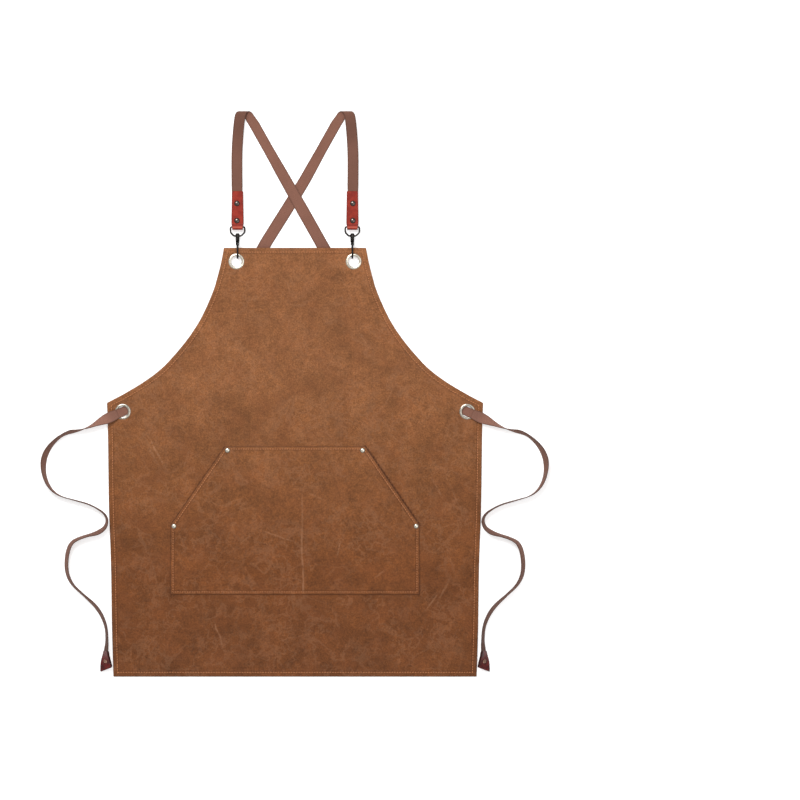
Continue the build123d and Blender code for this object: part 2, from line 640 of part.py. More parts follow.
with BuildPart() as tip_rivet_right:
    with BuildSketch(TIP_PLANE.offset(TIP_T / 2)):
        Circle(4.0)
    extrude(amount=1.2, taper=25)
    with BuildSketch(TIP_PLANE.offset(TIP_T / 2)):
        Circle(RIVET_SHANK_R)
    extrude(amount=-TIP_T)
    with BuildSketch(TIP_PLANE.offset(-TIP_T / 2)):
        Circle(4.0)
    extrude(amount=-0.9, taper=25)
tip_rivet_right.part.label = "tip_rivet_right"
with BuildPart() as tip_rivet_left:
    mirror(tip_rivet_right.part, about=Plane.YZ)
tip_rivet_left.part.label = "tip_rivet_left"

# ---------------------------------------------------------------- export
export_step(apron_panel.part, "parts/apron_panel.step")
export_step(front_pocket.part, "parts/front_pocket.step")
export_step(pocket_rivet_caps.part, "parts/pocket_rivet_caps.step")
export_step(pocket_rivet_backs.part, "parts/pocket_rivet_backs.step")
export_step(bib_eyelet_left.part, "parts/bib_eyelet_left.step")
export_step(bib_eyelet_right.part, "parts/bib_eyelet_right.step")
export_step(bib_washer_left.part, "parts/bib_washer_left.step")
export_step(bib_washer_right.part, "parts/bib_washer_right.step")
export_step(waist_eyelet_left.part, "parts/waist_eyelet_left.step")
export_step(waist_eyelet_right.part, "parts/waist_eyelet_right.step")
export_step(waist_washer_left.part, "parts/waist_washer_left.step")
export_step(waist_washer_right.part, "parts/waist_washer_right.step")
export_step(strap_left.part, "parts/strap_left.step")
export_step(strap_right.part, "parts/strap_right.step")
export_step(leather_tab_left.part, "parts/leather_tab_left.step")
export_step(leather_tab_right.part, "parts/leather_tab_right.step")
export_step(tab_rivet_caps_left.part, "parts/tab_rivet_caps_left.step")
export_step(tab_rivet_caps_right.part, "parts/tab_rivet_caps_right.step")
export_step(tab_rivet_backs_left.part, "parts/tab_rivet_backs_left.step")
export_step(tab_rivet_backs_right.part, "parts/tab_rivet_backs_right.step")
export_step(swivel_eye_left.part, "parts/swivel_eye_left.step")
export_step(swivel_eye_right.part, "parts/swivel_eye_right.step")
export_step(hook_body_left.part, "parts/hook_body_left.step")
export_step(hook_body_right.part, "parts/hook_body_right.step")
export_step(hook_gate_left.part, "parts/hook_gate_left.step")
export_step(hook_gate_right.part, "parts/hook_gate_right.step")
export_step(gate_pin_left.part, "parts/gate_pin_left.step")
export_step(gate_pin_right.part, "parts/gate_pin_right.step")
export_step(gate_spring_left.part, "parts/gate_spring_left.step")
export_step(gate_spring_right.part, "parts/gate_spring_right.step")
export_step(tie_left.part, "parts/tie_left.step")
export_step(tie_right.part, "parts/tie_right.step")
export_step(tie_tip_left.part, "parts/tie_tip_left.step")
export_step(tie_tip_right.part, "parts/tie_tip_right.step")
export_step(tip_rivet_left.part, "parts/tip_rivet_left.step")
export_step(tip_rivet_right.part, "parts/tip_rivet_right.step")

print("standing tie: length", round(stand_len, 1), "volume", round(tie_stand.part.volume, 1),
      "section x length", round(WEB_W * TIE_T * stand_len, 1))
print("tie arc radii:", [round(r, 1) for r in STAND_R])
print("tie runs:", [round(math.hypot(b[0] - a[0], b[1] - a[1]), 1) for a, b in zip(TIE_ROUTE, TIE_ROUTE[1:])])
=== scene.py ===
import bpy
import math
import numpy as np
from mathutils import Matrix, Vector


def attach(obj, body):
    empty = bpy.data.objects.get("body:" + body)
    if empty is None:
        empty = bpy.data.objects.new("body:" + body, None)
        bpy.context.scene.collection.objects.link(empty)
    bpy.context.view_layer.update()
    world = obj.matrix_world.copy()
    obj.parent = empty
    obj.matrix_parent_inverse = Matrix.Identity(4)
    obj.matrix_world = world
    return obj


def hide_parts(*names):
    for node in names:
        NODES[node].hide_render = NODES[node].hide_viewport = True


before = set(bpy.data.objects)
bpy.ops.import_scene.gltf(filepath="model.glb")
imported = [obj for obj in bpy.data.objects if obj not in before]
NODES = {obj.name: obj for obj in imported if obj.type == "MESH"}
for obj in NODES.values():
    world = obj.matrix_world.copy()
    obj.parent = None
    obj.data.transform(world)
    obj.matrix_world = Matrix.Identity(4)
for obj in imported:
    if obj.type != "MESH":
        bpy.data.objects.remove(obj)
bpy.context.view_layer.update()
scene = bpy.context.scene
MM = 0.001


# ------------------------------------------------------------------ camera
cam_data = bpy.data.cameras.new("camera")
cam = bpy.data.objects.new("camera", cam_data)
scene.collection.objects.link(cam)
CAM_Z = 9.0
cam.location = (0.1911, -0.0114, CAM_Z)
cam.rotation_euler = (0, 0, 0)
cam_data.type = "PERSP"
cam_data.sensor_width = 36.0
cam_data.lens = 36.0 * (CAM_Z - 0.004) / 1.4562
cam_data.clip_end = 50.0
scene.camera = cam


# ------------------------------------------------------------------ numbers
# The same plan as the CAD model, in millimetres.
OUTLINE = [(129.2, 265.3), (132.5, 247.0), (136.5, 228.9), (145.6, 196.1),
           (158.4, 163.4), (174.7, 130.6), (196.6, 97.8), (223.9, 65.1),
           (245.7, 43.2), (274.9, 21.4), (311.3, -0.5), (342.2, -16.8),
           (340.4, -70.0), (338.6, -201.0), (334.9, -310.0), (333.1, -419.0),
           (330.4, -514.7)]
BIB_EYE = (106.7, 240.7)
WAIST_EYE = (313.5, -32.5)
POCKET_Y0, POCKET_Y1, POCKET_YS = -365.4, -96.0, -239.8
POCKET_HB, POCKET_HT = 226.6, 127.4
POCKET_RIVETS = [(-123.0, -103.0), (123.0, -103.0), (-220.5, -241.0), (220.5, -241.0)]
TIE_ROUTE = [(322.6, -36.6), (350.0, -48.8), (385.0, -65.5), (419.4, -70.7),
             (447.5, -95.6), (459.3, -124.1), (454.0, -160.2), (434.7, -184.6),
             (400.2, -194.3), (369.1, -202.8), (338.9, -223.2), (346.9, -250.7),
             (392.0, -262.0), (411.3, -274.8), (417.3, -316.2), (408.2, -345.1),
             (382.7, -368.1), (358.2, -390.4), (343.5, -420.4), (341.6, -450.5),
             (343.2, -466.0)]
TIP_C = (343.4, -486.6)
TIP_L, TIP_W, TIP_T, TIP_LEAN = 38.0, 23.0, 4.7, 50.0
OUT_A = math.radians(-24.0)
UX, UY = math.cos(OUT_A), math.sin(OUT_A)
LEAD_Z = 4.9
WEB_W, WEB_T = 20.0, 1.5


def smooth(v, a, b):
    t = np.clip((v - a) / (b - a), 0, 1)
    return t * t * (3 - 2 * t)


def catmull(points, step=2.0):
    """Dense points on a smooth line through the given ones (2-D or 3-D)."""
    p = np.asarray(points, float)
    q = np.vstack([2 * p[0] - p[1], p, 2 * p[-1] - p[-2]])
    out = []
    for i in range(1, len(q) - 2):
        p0, p1, p2, p3 = q[i - 1:i + 3]
        n = max(2, int(np.linalg.norm(p2 - p1) / step))
        for t in np.linspace(0, 1, n, endpoint=False):
            out.append(0.5 * (2 * p1 + (p2 - p0) * t + (2 * p0 - 5 * p1 + 4 * p2 - p3) * t * t
                              + (3 * p1 - p0 - 3 * p2 + p3) * t ** 3))
    out.append(p[-1])
    return np.array(out)


def resample(points, step=None, count=None):
    p = np.asarray(points, float)
    s = np.r_[0, np.cumsum(np.linalg.norm(np.diff(p, axis=0), axis=1))]
    n = count or max(2, int(round(s[-1] / step)) + 1)
    t = np.linspace(0, s[-1], n)
    return np.stack([np.interp(t, s, p[:, k]) for k in range(p.shape[1])], 1), t


def seg_dist(P, A, B):
    P = np.asarray(P, float)
    best = np.full(len(P), 1e18)
    for a, b in zip(A, B):
        ab = b - a
        t = np.clip(((P - a) @ ab) / max(ab @ ab, 1e-12), 0, 1)
        q = P - a - t[:, None] * ab
        best = np.minimum(best, (q * q).sum(1))
    return np.sqrt(best)


def ripple(P, seed, wavelength, n=9):
    """Smooth band-limited noise, about -1 to 1."""
    r = np.random.default_rng(seed)
    out = np.zeros(len(P))
    for _ in range(n):
        a = r.uniform(0, 2 * math.pi)
        k = 2 * math.pi / (wavelength * r.uniform(0.6, 1.7))
        out += np.sin(k * (P[:, 0] * math.cos(a) + P[:, 1] * math.sin(a)) + r.uniform(0, 6.28))
    return out / math.sqrt(n) / 1.2


def inset_loop(loop, d):
    """Closed clockwise plan loop moved inwards by d, corners kept by mitre."""
    p = np.asarray(loop, float)
    a, b = np.roll(p, 1, 0), np.roll(p, -1, 0)
    t1 = p - a
    t2 = b - p
    t1 /= np.linalg.norm(t1, axis=1)[:, None]
    t2 /= np.linalg.norm(t2, axis=1)[:, None]
    n1 = np.stack([t1[:, 1], -t1[:, 0]], 1)
    n2 = np.stack([t2[:, 1], -t2[:, 0]], 1)
    m = n1 + n2
    m /= np.linalg.norm(m, axis=1)[:, None]
    c = np.clip((m * n1).sum(1), 0.35, 1)
    d = np.asarray(d, float)
    return p + m * (d / c)[:, None], m / c[:, None]


# ------------------------------------------------------------------ materials
def new_mat(name):
    m = bpy.data.materials.new(name)
    m.use_nodes = True
    nt = m.node_tree
    for n in list(nt.nodes):
        nt.nodes.remove(n)
    out = nt.nodes.new("ShaderNodeOutputMaterial")
    b = nt.nodes.new("ShaderNodeBsdfPrincipled")
    nt.links.new(b.outputs[0], out.inputs[0])
    return m, nt, b


def put(nt, sock, v):
    if isinstance(v, bpy.types.NodeSocket):
        nt.links.new(v, sock)
    else:
        sock.default_value = v


def mth(nt, op, a, b=None, c=None, clamp=False):
    n = nt.nodes.new("ShaderNodeMath")
    n.operation = op
    n.use_clamp = clamp
    for i, v in enumerate((a, b, c)):
        if v is not None:
            put(nt, n.inputs[i], v)
    return n.outputs[0]


def mixc(nt, fac, a, b, mode="MIX"):
    n = nt.nodes.new("ShaderNodeMix")
    n.data_type = "RGBA"
    n.blend_type = mode
    n.clamp_factor = True
    put(nt, n.inputs[0], fac)
    put(nt, n.inputs[6], a if isinstance(a, bpy.types.NodeSocket) else (*a, 1.0))
    put(nt, n.inputs[7], b if isinstance(b, bpy.types.NodeSocket) else (*b, 1.0))
    return n.outputs[2]


def scalec(nt, col, f):
    n = nt.nodes.new("ShaderNodeVectorMath")
    n.operation = "SCALE"
    put(nt, n.inputs[0], col)
    put(nt, n.inputs["Scale"], f)
    return n.outputs[0]


def noise(nt, vec, scale, detail=3.0, rough=0.55, dist=0.0):
    n = nt.nodes.new("ShaderNodeTexNoise")
    nt.links.new(vec, n.inputs["Vector"])
    n.inputs["Scale"].default_value = scale
    n.inputs["Detail"].default_value = detail
    n.inputs["Roughness"].default_value = rough
    n.inputs["Distortion"].default_value = dist
    return n.outputs[0]


def stretch(nt, vec, scale, rot=(0, 0, 0)):
    n = nt.nodes.new("ShaderNodeMapping")
    nt.links.new(vec, n.inputs["Vector"])
    n.inputs["Scale"].default_value = scale
    n.inputs["Rotation"].default_value = rot
    return n.outputs[0]


def remap(nt, v, a, b, c=0.0, d=1.0, kind="SMOOTHSTEP"):
    n = nt.nodes.new("ShaderNodeMapRange")
    n.interpolation_type = kind
    put(nt, n.inputs["Value"], v)
    n.inputs["From Min"].default_value = a
    n.inputs["From Max"].default_value = b
    n.inputs["To Min"].default_value = c
    n.inputs["To Max"].default_value = d
    return n.outputs[0]


def ramp(nt, fac, stops):
    n = nt.nodes.new("ShaderNodeValToRGB")
    nt.links.new(fac, n.inputs[0])
    e = n.color_ramp.elements
    while len(e) > 1:
        e.remove(e[-1])
    e[0].position, e[0].color = stops[0][0], (*stops[0][1], 1)
    for p, c in stops[1:]:
        x = e.new(p)
        x.color = (*c, 1)
    return n.outputs[0]


def bump(nt, b, height, strength, distance):
    n = nt.nodes.new("ShaderNodeBump")
    n.inputs["Strength"].default_value = strength
    n.inputs["Distance"].default_value = distance
    nt.links.new(height, n.inputs["Height"])
    nt.links.new(n.outputs[0], b.inputs["Normal"])


def xyz(nt, vec):
    n = nt.nodes.new("ShaderNodeSeparateXYZ")
    nt.links.new(vec, n.inputs[0])
    return n.outputs


def coords(nt, which="Object"):
    return nt.nodes.new("ShaderNodeTexCoord").outputs[which]


def canvas_material(name, tone=1.0, crease_x=None, shift=0.0, rub_w=0.05, line_at=0.090, rim=0.0,
                    scratches=()):
    m, nt, b = new_mat(name)
    obj = coords(nt)
    x, y, z = xyz(nt, obj)
    # colour ramp up the panel, lighter at the bib and darker towards the bottom: partly the cloth's own tone, partly
    # painted shade
    t = remap(nt, y, -0.52, 0.27, kind="LINEAR")
    k = tone * 0.965
    base = ramp(nt, t, [(0.0, (0.127 * k, 0.0418 * k, 0.0124 * k)),
                        (0.25, (0.141 * k, 0.0456 * k, 0.0126 * k)),
                        (0.50, (0.172 * k, 0.0630 * k, 0.0204 * k)),
                        (0.70, (0.205 * k, 0.0790 * k, 0.0286 * k)),
                        (1.0, (0.207 * k, 0.0800 * k, 0.0294 * k))])
    sh = nt.nodes.new("ShaderNodeVectorMath")
    sh.operation = "ADD"
    nt.links.new(obj, sh.inputs[0])
    sh.inputs[1].default_value = (shift, shift * 0.7, 0)
    v = sh.outputs[0]
    cloud = noise(nt, v, 13.0, 4.0, 0.6, 0.4)
    patch = noise(nt, v, 55.0, 4.0, 0.65, 0.3)
    grain = noise(nt, v, 330.0, 3.0, 0.7)
    mid = noise(nt, v, 135.0, 3.0, 0.62, 0.2)
    f = mth(nt, "MULTIPLY_ADD", cloud, 0.95, 0.525)
    f = mth(nt, "MULTIPLY", f, mth(nt, "MULTIPLY_ADD", patch, 0.75, 0.625))
    f = mth(nt, "MULTIPLY", f, mth(nt, "MULTIPLY_ADD", mid, 0.55, 0.725))
    f = mth(nt, "MULTIPLY", f, mth(nt, "MULTIPLY_ADD", grain, 1.70, 0.15))
    # plain weave, yarns about 0.9 mm apart
    p = 0.0009
    u = mth(nt, "DIVIDE", x, p)
    w = mth(nt, "DIVIDE", y, p)
    a = mth(nt, "ABSOLUTE", mth(nt, "SINE", mth(nt, "MULTIPLY", u, math.pi)))
    c = mth(nt, "ABSOLUTE", mth(nt, "SINE", mth(nt, "MULTIPLY", w, math.pi)))
    par = mth(nt, "FLOORED_MODULO", mth(nt, "ADD", mth(nt, "FLOOR", u), mth(nt, "FLOOR", w)), 2.0)
    h1 = mth(nt, "MULTIPLY", a, mth(nt, "MULTIPLY_ADD", c, 0.45, 0.55))
    h2 = mth(nt, "MULTIPLY", c, mth(nt, "MULTIPLY_ADD", a, 0.45, 0.55))
    hm = nt.nodes.new("ShaderNodeMix")
    put(nt, hm.inputs[0], par)
    put(nt, hm.inputs[2], h1)
    put(nt, hm.inputs[3], h2)
    weave = hm.outputs[0]
    f = mth(nt, "MULTIPLY", f, mth(nt, "MULTIPLY_ADD", weave, 0.78, 0.585))
    col = scalec(nt, base, f)
    # slightly redder and yellower patches of wax
    warm = noise(nt, v, 24.0, 3.0, 0.6)
    col = mixc(nt, remap(nt, warm, 0.42, 0.72, 0.0, 0.22), col, scalec(nt, col, 1.0), "MIX")
    col = mixc(nt, remap(nt, warm, 0.30, 0.62, 0.16, 0.0), col, (0.27 * k, 0.085 * k, 0.030 * k))
    # pale crease marks where the wax has cracked
    veins = noise(nt, v, 15.0, 5.0, 0.60, 0.35)
    veins = mth(nt, "SUBTRACT", 1.0, mth(nt, "ABSOLUTE", mth(nt, "MULTIPLY_ADD", veins, 2.0, -1.0)))
    veins = mth(nt, "MULTIPLY", remap(nt, veins, 0.915, 1.0), remap(nt, noise(nt, v, 9.0, 2.0), 0.40, 0.62))
    fine_v = noise(nt, v, 40.0, 5.0, 0.62, 0.3)
    fine_v = mth(nt, "SUBTRACT", 1.0, mth(nt, "ABSOLUTE", mth(nt, "MULTIPLY_ADD", fine_v, 2.0, -1.0)))
    fine_v = mth(nt, "MULTIPLY", remap(nt, fine_v, 0.90, 1.0), remap(nt, noise(nt, v, 14.0, 2.0), 0.36, 0.62))
    col = mixc(nt, mth(nt, "MULTIPLY", mth(nt, "MAXIMUM", veins, fine_v), 0.17), col, (0.36 * k, 0.175 * k, 0.092 * k))
    marks = None
    wob_x = mth(nt, "MULTIPLY_ADD", noise(nt, v, 38.0, 3.0), 0.008, -0.004)
    wob_y = mth(nt, "MULTIPLY_ADD", noise(nt, stretch(nt, v, (1, 1, 1), (0, 0, 0.8)), 33.0, 3.0), 0.008, -0.004)
    broken = remap(nt, noise(nt, v, 120.0, 3.0, 0.6), 0.36, 0.60, 0.15, 1.0)
    for x0, y0, x1, y1, wd, amp in scratches:
        ux, uy = x1 - x0, y1 - y0
        ln = math.hypot(ux, uy)
        ux, uy = ux / ln, uy / ln
        px = mth(nt, "SUBTRACT", mth(nt, "ADD", x, wob_x), x0)
        py = mth(nt, "SUBTRACT", mth(nt, "ADD", y, wob_y), y0)
        along = mth(nt, "ADD", mth(nt, "MULTIPLY", px, ux), mth(nt, "MULTIPLY", py, uy))
        off = mth(nt, "ABSOLUTE", mth(nt, "SUBTRACT", mth(nt, "MULTIPLY", py, ux), mth(nt, "MULTIPLY", px, uy)))
        one = mth(nt, "MULTIPLY", remap(nt, off, wd * 0.2, wd, amp, 0.0),
                  mth(nt, "MULTIPLY", remap(nt, along, 0.0, ln * 0.35), remap(nt, along, ln * 0.6, ln, 1.0, 0.0)))
        marks = one if marks is None else mth(nt, "MAXIMUM", marks, one)
    marks = mth(nt, "MULTIPLY", marks, broken)
    if crease_x is not None:
        wob = mth(nt, "MULTIPLY_ADD", noise(nt, stretch(nt, v, (0.2, 1, 1)), 9.0, 2.0), 0.012, -0.006)
        lean = mth(nt, "MULTIPLY_ADD", y, -0.022, crease_x - 0.006)
        dx = mth(nt, "ABSOLUTE", mth(nt, "SUBTRACT", mth(nt, "SUBTRACT", x, lean), wob))
        ln = remap(nt, dx, 0.0004, 0.0028, 1.0, 0.0)
        ln = mth(nt, "MULTIPLY", ln, remap(nt, y, -0.165, -0.235))
        ln = mth(nt, "MULTIPLY", ln, remap(nt, noise(nt, v, 60.0, 3.0), 0.30, 0.60, 0.25, 1.0))
        marks = mth(nt, "MAXIMUM", marks, mth(nt, "MULTIPLY", ln, 0.75))
    col = mixc(nt, mth(nt, "MULTIPLY", marks, 0.42), col, (0.43 * k, 0.215 * k, 0.115 * k))
    # rubbed, paler fold from wear; painted shade along the stitch groove, and a painted shadow on the panel around the
    # pocket's outline
    eu, ev, _ = xyz(nt, coords(nt, "UV"))
    wob = mth(nt, "MULTIPLY_ADD", noise(nt, v, 70.0, 2.0), 0.012, -0.006)
    eu2 = mth(nt, "ADD", eu, wob)
    # painted shade: a dark line just inside the pocket's edge
    if rim:
        col = mixc(nt, mth(nt, "MULTIPLY", remap(nt, eu, 0.002, 0.016, 1.0, 0.0), rim), col, (0.080 * k, 0.026 * k, 0.010 * k))
    rub = mth(nt, "MULTIPLY", remap(nt, eu2, 0.0, rub_w, 1.0, 0.0), remap(nt, patch, 0.30, 0.62, 0.35, 1.0))
    col = mixc(nt, mth(nt, "MULTIPLY", rub, 0.09), col, (0.335 * k, 0.155 * k, 0.075 * k))
    stitch_groove_shade = mth(nt, "MULTIPLY", remap(nt, mth(nt, "ABSOLUTE", mth(nt, "SUBTRACT", eu2, line_at)), 0.004, 0.024, 1.0, 0.0), 0.26)
    painted_shade = mth(nt, "MAXIMUM", stitch_groove_shade, mth(nt, "MULTIPLY", remap(nt, ev, 0.001, 0.022, 1.0, 0.0), 0.90))
    col = mixc(nt, painted_shade, col, (0.058 * k, 0.018 * k, 0.0065 * k))
    nt.links.new(col, b.inputs["Base Color"])
    rough = mth(nt, "MULTIPLY_ADD", patch, 0.20, 0.56)
    nt.links.new(rough, b.inputs["Roughness"])
    b.inputs["Specular IOR Level"].default_value = 0.14
    b.inputs["Sheen Weight"].default_value = 0.02
    b.inputs["Sheen Roughness"].default_value = 0.5
    height = mth(nt, "ADD", mth(nt, "MULTIPLY", weave, 0.55),
                 mth(nt, "ADD", mth(nt, "MULTIPLY", grain, 0.9), mth(nt, "MULTIPLY", patch, 1.2)))
    bump(nt, b, height, 0.55, 0.0005)
    return m


def webbing_material(name, tone=(1.0, 1.0, 1.0), front=False, painted_tie_shading=False):
    """Narrow ribbed webbing; UV.x runs across it from 0 to 1, UV.y along it in metres."""
    m, nt, b = new_mat(name)
    uv = coords(nt, "UV")
    u, v, _ = xyz(nt, uv)
    obj = coords(nt)
    ribs = mth(nt, "MULTIPLY", u, 11.0)
    rib = mth(nt, "ABSOLUTE", mth(nt, "SINE", mth(nt, "MULTIPLY", ribs, math.pi)))
    col_i = mth(nt, "FLOOR", ribs)
    slant = mth(nt, "MULTIPLY", mth(nt, "SUBTRACT", mth(nt, "FRACT", ribs), 0.5),
                mth(nt, "MULTIPLY_ADD", mth(nt, "FLOORED_MODULO", col_i, 2.0), 2.0, -1.0))
    pick = mth(nt, "ADD", mth(nt, "DIVIDE", v, 0.0011), mth(nt, "MULTIPLY", slant, 0.9))
    pk = mth(nt, "ABSOLUTE", mth(nt, "SINE", mth(nt, "MULTIPLY", pick, math.pi)))
    yarn = mth(nt, "MULTIPLY", mth(nt, "POWER", rib, 0.6), mth(nt, "MULTIPLY_ADD", mth(nt, "POWER", pk, 0.6), 0.6, 0.4))
    fine = noise(nt, obj, 900.0, 2.0, 0.6)
    drift = noise(nt, obj, 28.0, 3.0, 0.5)
    f = mth(nt, "MULTIPLY_ADD", yarn, 0.70, 0.56)
    f = mth(nt, "MULTIPLY", f, mth(nt, "MULTIPLY_ADD", fine, 0.36, 0.82))
    f = mth(nt, "MULTIPLY", f, mth(nt, "MULTIPLY_ADD", drift, 0.30, 0.85))
    edge = mth(nt, "ABSOLUTE", mth(nt, "MULTIPLY_ADD", u, 2.0, -1.0))
    f = mth(nt, "MULTIPLY", f, remap(nt, edge, 0.72, 1.0, 1.0, 0.66))
    if painted_tie_shading:
        # painted light and shade along the tie: paler where it comes out of the eyelet, darker further on, and darker
        # again towards the tip
        f = mth(nt, "MULTIPLY", f, mth(nt, "MINIMUM", remap(nt, v, 0.008, 0.030, 1.0, 1.26),
                                       remap(nt, v, 0.045, 0.11, 1.26, 0.90)))
        f = mth(nt, "MULTIPLY", f, remap(nt, v, 0.555, 0.640, 1.0, 0.58))
    # the front run darker than the run behind; painted shade where it curves over at the fold makes it darker still
    if front:
        f = mth(nt, "MULTIPLY", f, remap(nt, v, 0.17, 0.235, 0.80, 1.0))
        f = mth(nt, "MULTIPLY", f, mth(nt, "MAXIMUM", remap(nt, v, 0.120, 0.185, 1.0, 0.80),
                                       remap(nt, v, 0.195, 0.222, 0.80, 1.0)))
    col = mixc(nt, remap(nt, fine, 0.3, 0.7), (0.205 * tone[0], 0.097 * tone[1], 0.070 * tone[2]),
               (0.178 * tone[0], 0.078 * tone[1], 0.057 * tone[2]))
    nt.links.new(scalec(nt, col, f), b.inputs["Base Color"])
    b.inputs["Roughness"].default_value = 0.80
    b.inputs["Specular IOR Level"].default_value = 0.14
    b.inputs["Sheen Weight"].default_value = 0.03
    b.inputs["Sheen Roughness"].default_value = 0.4
    bump(nt, b, mth(nt, "MULTIPLY_ADD", fine, 0.35, yarn), 0.6, 0.0004)
    return m


def leather_material(name, base, deep, spec, painted_highlight_at=None):
    m, nt, b = new_mat(name)
    obj = coords(nt)
    u, v, _ = xyz(nt, coords(nt, "UV"))
    vor = nt.nodes.new("ShaderNodeTexVoronoi")
    nt.links.new(obj, vor.inputs["Vector"])
    vor.feature = "DISTANCE_TO_EDGE"
    vor.inputs["Scale"].default_value = 1150.0
    cell = remap(nt, vor.outputs[0], 0.0, 0.16)
    cloud = noise(nt, obj, 130.0, 4.0, 0.6, 0.4)
    fine = noise(nt, obj, 1500.0, 2.0, 0.6)
    edge = mth(nt, "ABSOLUTE", mth(nt, "MULTIPLY_ADD", u, 2.0, -1.0))
    burn = remap(nt, mth(nt, "MULTIPLY_ADD", cloud, 0.16, edge), 0.92, 1.06)
    col = mixc(nt, remap(nt, cloud, 0.34, 0.68), deep, base)
    col = scalec(nt, col, mth(nt, "MULTIPLY_ADD", cell, 0.16, 0.86))
    col = mixc(nt, mth(nt, "MULTIPLY", burn, 0.75), col, (deep[0] * 0.30, deep[1] * 0.35, deep[2] * 0.4))
    # painted highlight on the bulge where the leather loops round the eye's bar, and painted shade in the crease beside
    # it
    if painted_highlight_at is not None:
        near = mth(nt, "ABSOLUTE", mth(nt, "SUBTRACT", v, painted_highlight_at))
        col = mixc(nt, remap(nt, near, 0.0004, 0.0022, 0.60, 0.0), col, (base[0] * 1.75, base[1] * 4.6, base[2] * 6.5))
        crease = mth(nt, "ABSOLUTE", mth(nt, "SUBTRACT", v, painted_highlight_at - 0.0042))
        col = mixc(nt, remap(nt, crease, 0.0003, 0.0017, 0.55, 0.0), col, (deep[0] * 0.28, deep[1] * 0.3, deep[2] * 0.3))
    nt.links.new(col, b.inputs["Base Color"])
    nt.links.new(mth(nt, "MULTIPLY_ADD", cloud, 0.25, 0.36), b.inputs["Roughness"])
    b.inputs["Specular IOR Level"].default_value = spec
    h = mth(nt, "ADD", mth(nt, "MULTIPLY", cell, 0.7), mth(nt, "MULTIPLY_ADD", fine, 0.25, mth(nt, "MULTIPLY", cloud, 0.8)))
    bump(nt, b, h, 0.35, 0.0003)
    return m


def metal_material(name, bright, dull, rough, spread, scratch=0.25):
    m, nt, b = new_mat(name)
    obj = coords(nt)
    n = noise(nt, obj, 260.0, 3.0, 0.6)
    s = noise(nt, stretch(nt, obj, (1.0, 9.0, 3.0), (0.3, 0.2, 0.6)), 900.0, 2.0)
    nt.links.new(mixc(nt, remap(nt, n, 0.35, 0.75), bright, dull), b.inputs["Base Color"])
    b.inputs["Metallic"].default_value = 1.0
    nt.links.new(mth(nt, "MULTIPLY_ADD", n, spread, rough - spread * 0.5), b.inputs["Roughness"])
    bump(nt, b, s, scratch, 0.00006)
    return m


def thread_material(name, col):
    m, nt, b = new_mat(name)
    obj = coords(nt)
    n = noise(nt, obj, 380.0, 3.0, 0.6)
    tw = nt.nodes.new("ShaderNodeTexWave")
    nt.links.new(stretch(nt, obj, (1, 1, 1), (0, 0, 0.8)), tw.inputs["Vector"])
    tw.inputs["Scale"].default_value = 700.0
    f = mth(nt, "MULTIPLY_ADD", n, 0.7, 0.65)
    nt.links.new(scalec(nt, mixc(nt, n, col, (col[0] * 0.8, col[1] * 0.75, col[2] * 0.7)), f), b.inputs["Base Color"])
    b.inputs["Roughness"].default_value = 0.62
    b.inputs["Specular IOR Level"].default_value = 0.3
    bump(nt, b, tw.outputs[1], 0.4, 0.0001)
    return m


M_PANEL = canvas_material("waxed_canvas_panel", scratches=[
    (-0.272, -0.068, -0.232, -0.146, 0.0026, 0.85), (-0.284, -0.060, -0.240, -0.150, 0.0040, 0.35),
    (-0.206, -0.140, -0.188, -0.095, 0.0022, 0.45), (-0.150, -0.404, -0.128, -0.472, 0.0022, 0.65),
    (-0.262, -0.300, -0.250, -0.352, 0.0024, 0.40), (0.230, -0.404, 0.268, -0.352, 0.0022, 0.50),
    (0.262, -0.120, 0.312, -0.236, 0.0022, 0.35), (0.286, -0.330, 0.252, -0.392, 0.0030, 0.50),
    (0.272, -0.196, 0.246, -0.150, 0.0024, 0.40), (-0.036, -0.452, 0.030, -0.436, 0.0022, 0.40),
    (0.110, 0.120, 0.136, 0.082, 0.0020, 0.30), (-0.112, 0.020, -0.066, 0.034, 0.0024, 0.25)])
M_POCKET = canvas_material("waxed_canvas_pocket", tone=1.045, crease_x=0.0135, shift=3.7, rub_w=0.026, line_at=0.062, rim=0.8,
                           scratches=[(-0.066, -0.246, 0.006, -0.272, 0.0022, 0.60),
                                      (-0.108, -0.278, -0.070, -0.252, 0.0024, 0.45),
                                      (0.076, -0.300, 0.084, -0.262, 0.0024, 0.55),
                                      (0.140, -0.338, 0.170, -0.318, 0.0022, 0.40),
                                      (-0.170, -0.330, -0.150, -0.352, 0.0022, 0.35),
                                      (0.022, -0.180, 0.060, -0.196, 0.0026, 0.35)])
M_WEB = webbing_material("ribbed_webbing", (0.98, 0.98, 0.94), front=True)
M_TIE = webbing_material("ribbed_webbing_tie", (0.95, 0.99, 0.97), painted_tie_shading=True)
M_LEATHER = leather_material("red_leather", (0.285, 0.0265, 0.0125), (0.190, 0.013, 0.0065), 0.15, painted_highlight_at=0.0660)
# the tips use a darker, glossier copy of the red leather; the darkness is partly painted shade
M_TIP = leather_material("red_leather_tip", (0.130, 0.0095, 0.0070), (0.045, 0.0035, 0.0030), 0.28)
M_NICKEL = metal_material("nickel_plate", (0.62, 0.575, 0.485), (0.44, 0.40, 0.33), 0.22, 0.14)
# the same nickel, darker, on the waist eyelets and washers
M_NICKEL2 = metal_material("darker_nickel", (0.44, 0.40, 0.335), (0.28, 0.25, 0.21), 0.22, 0.14)
M_DARK = metal_material("black_nickel", (0.022, 0.020, 0.019), (0.010, 0.009, 0.008), 0.34, 0.16)
M_EYE = metal_material("gunmetal_eye", (0.046, 0.042, 0.039), (0.022, 0.020, 0.019), 0.28, 0.16)
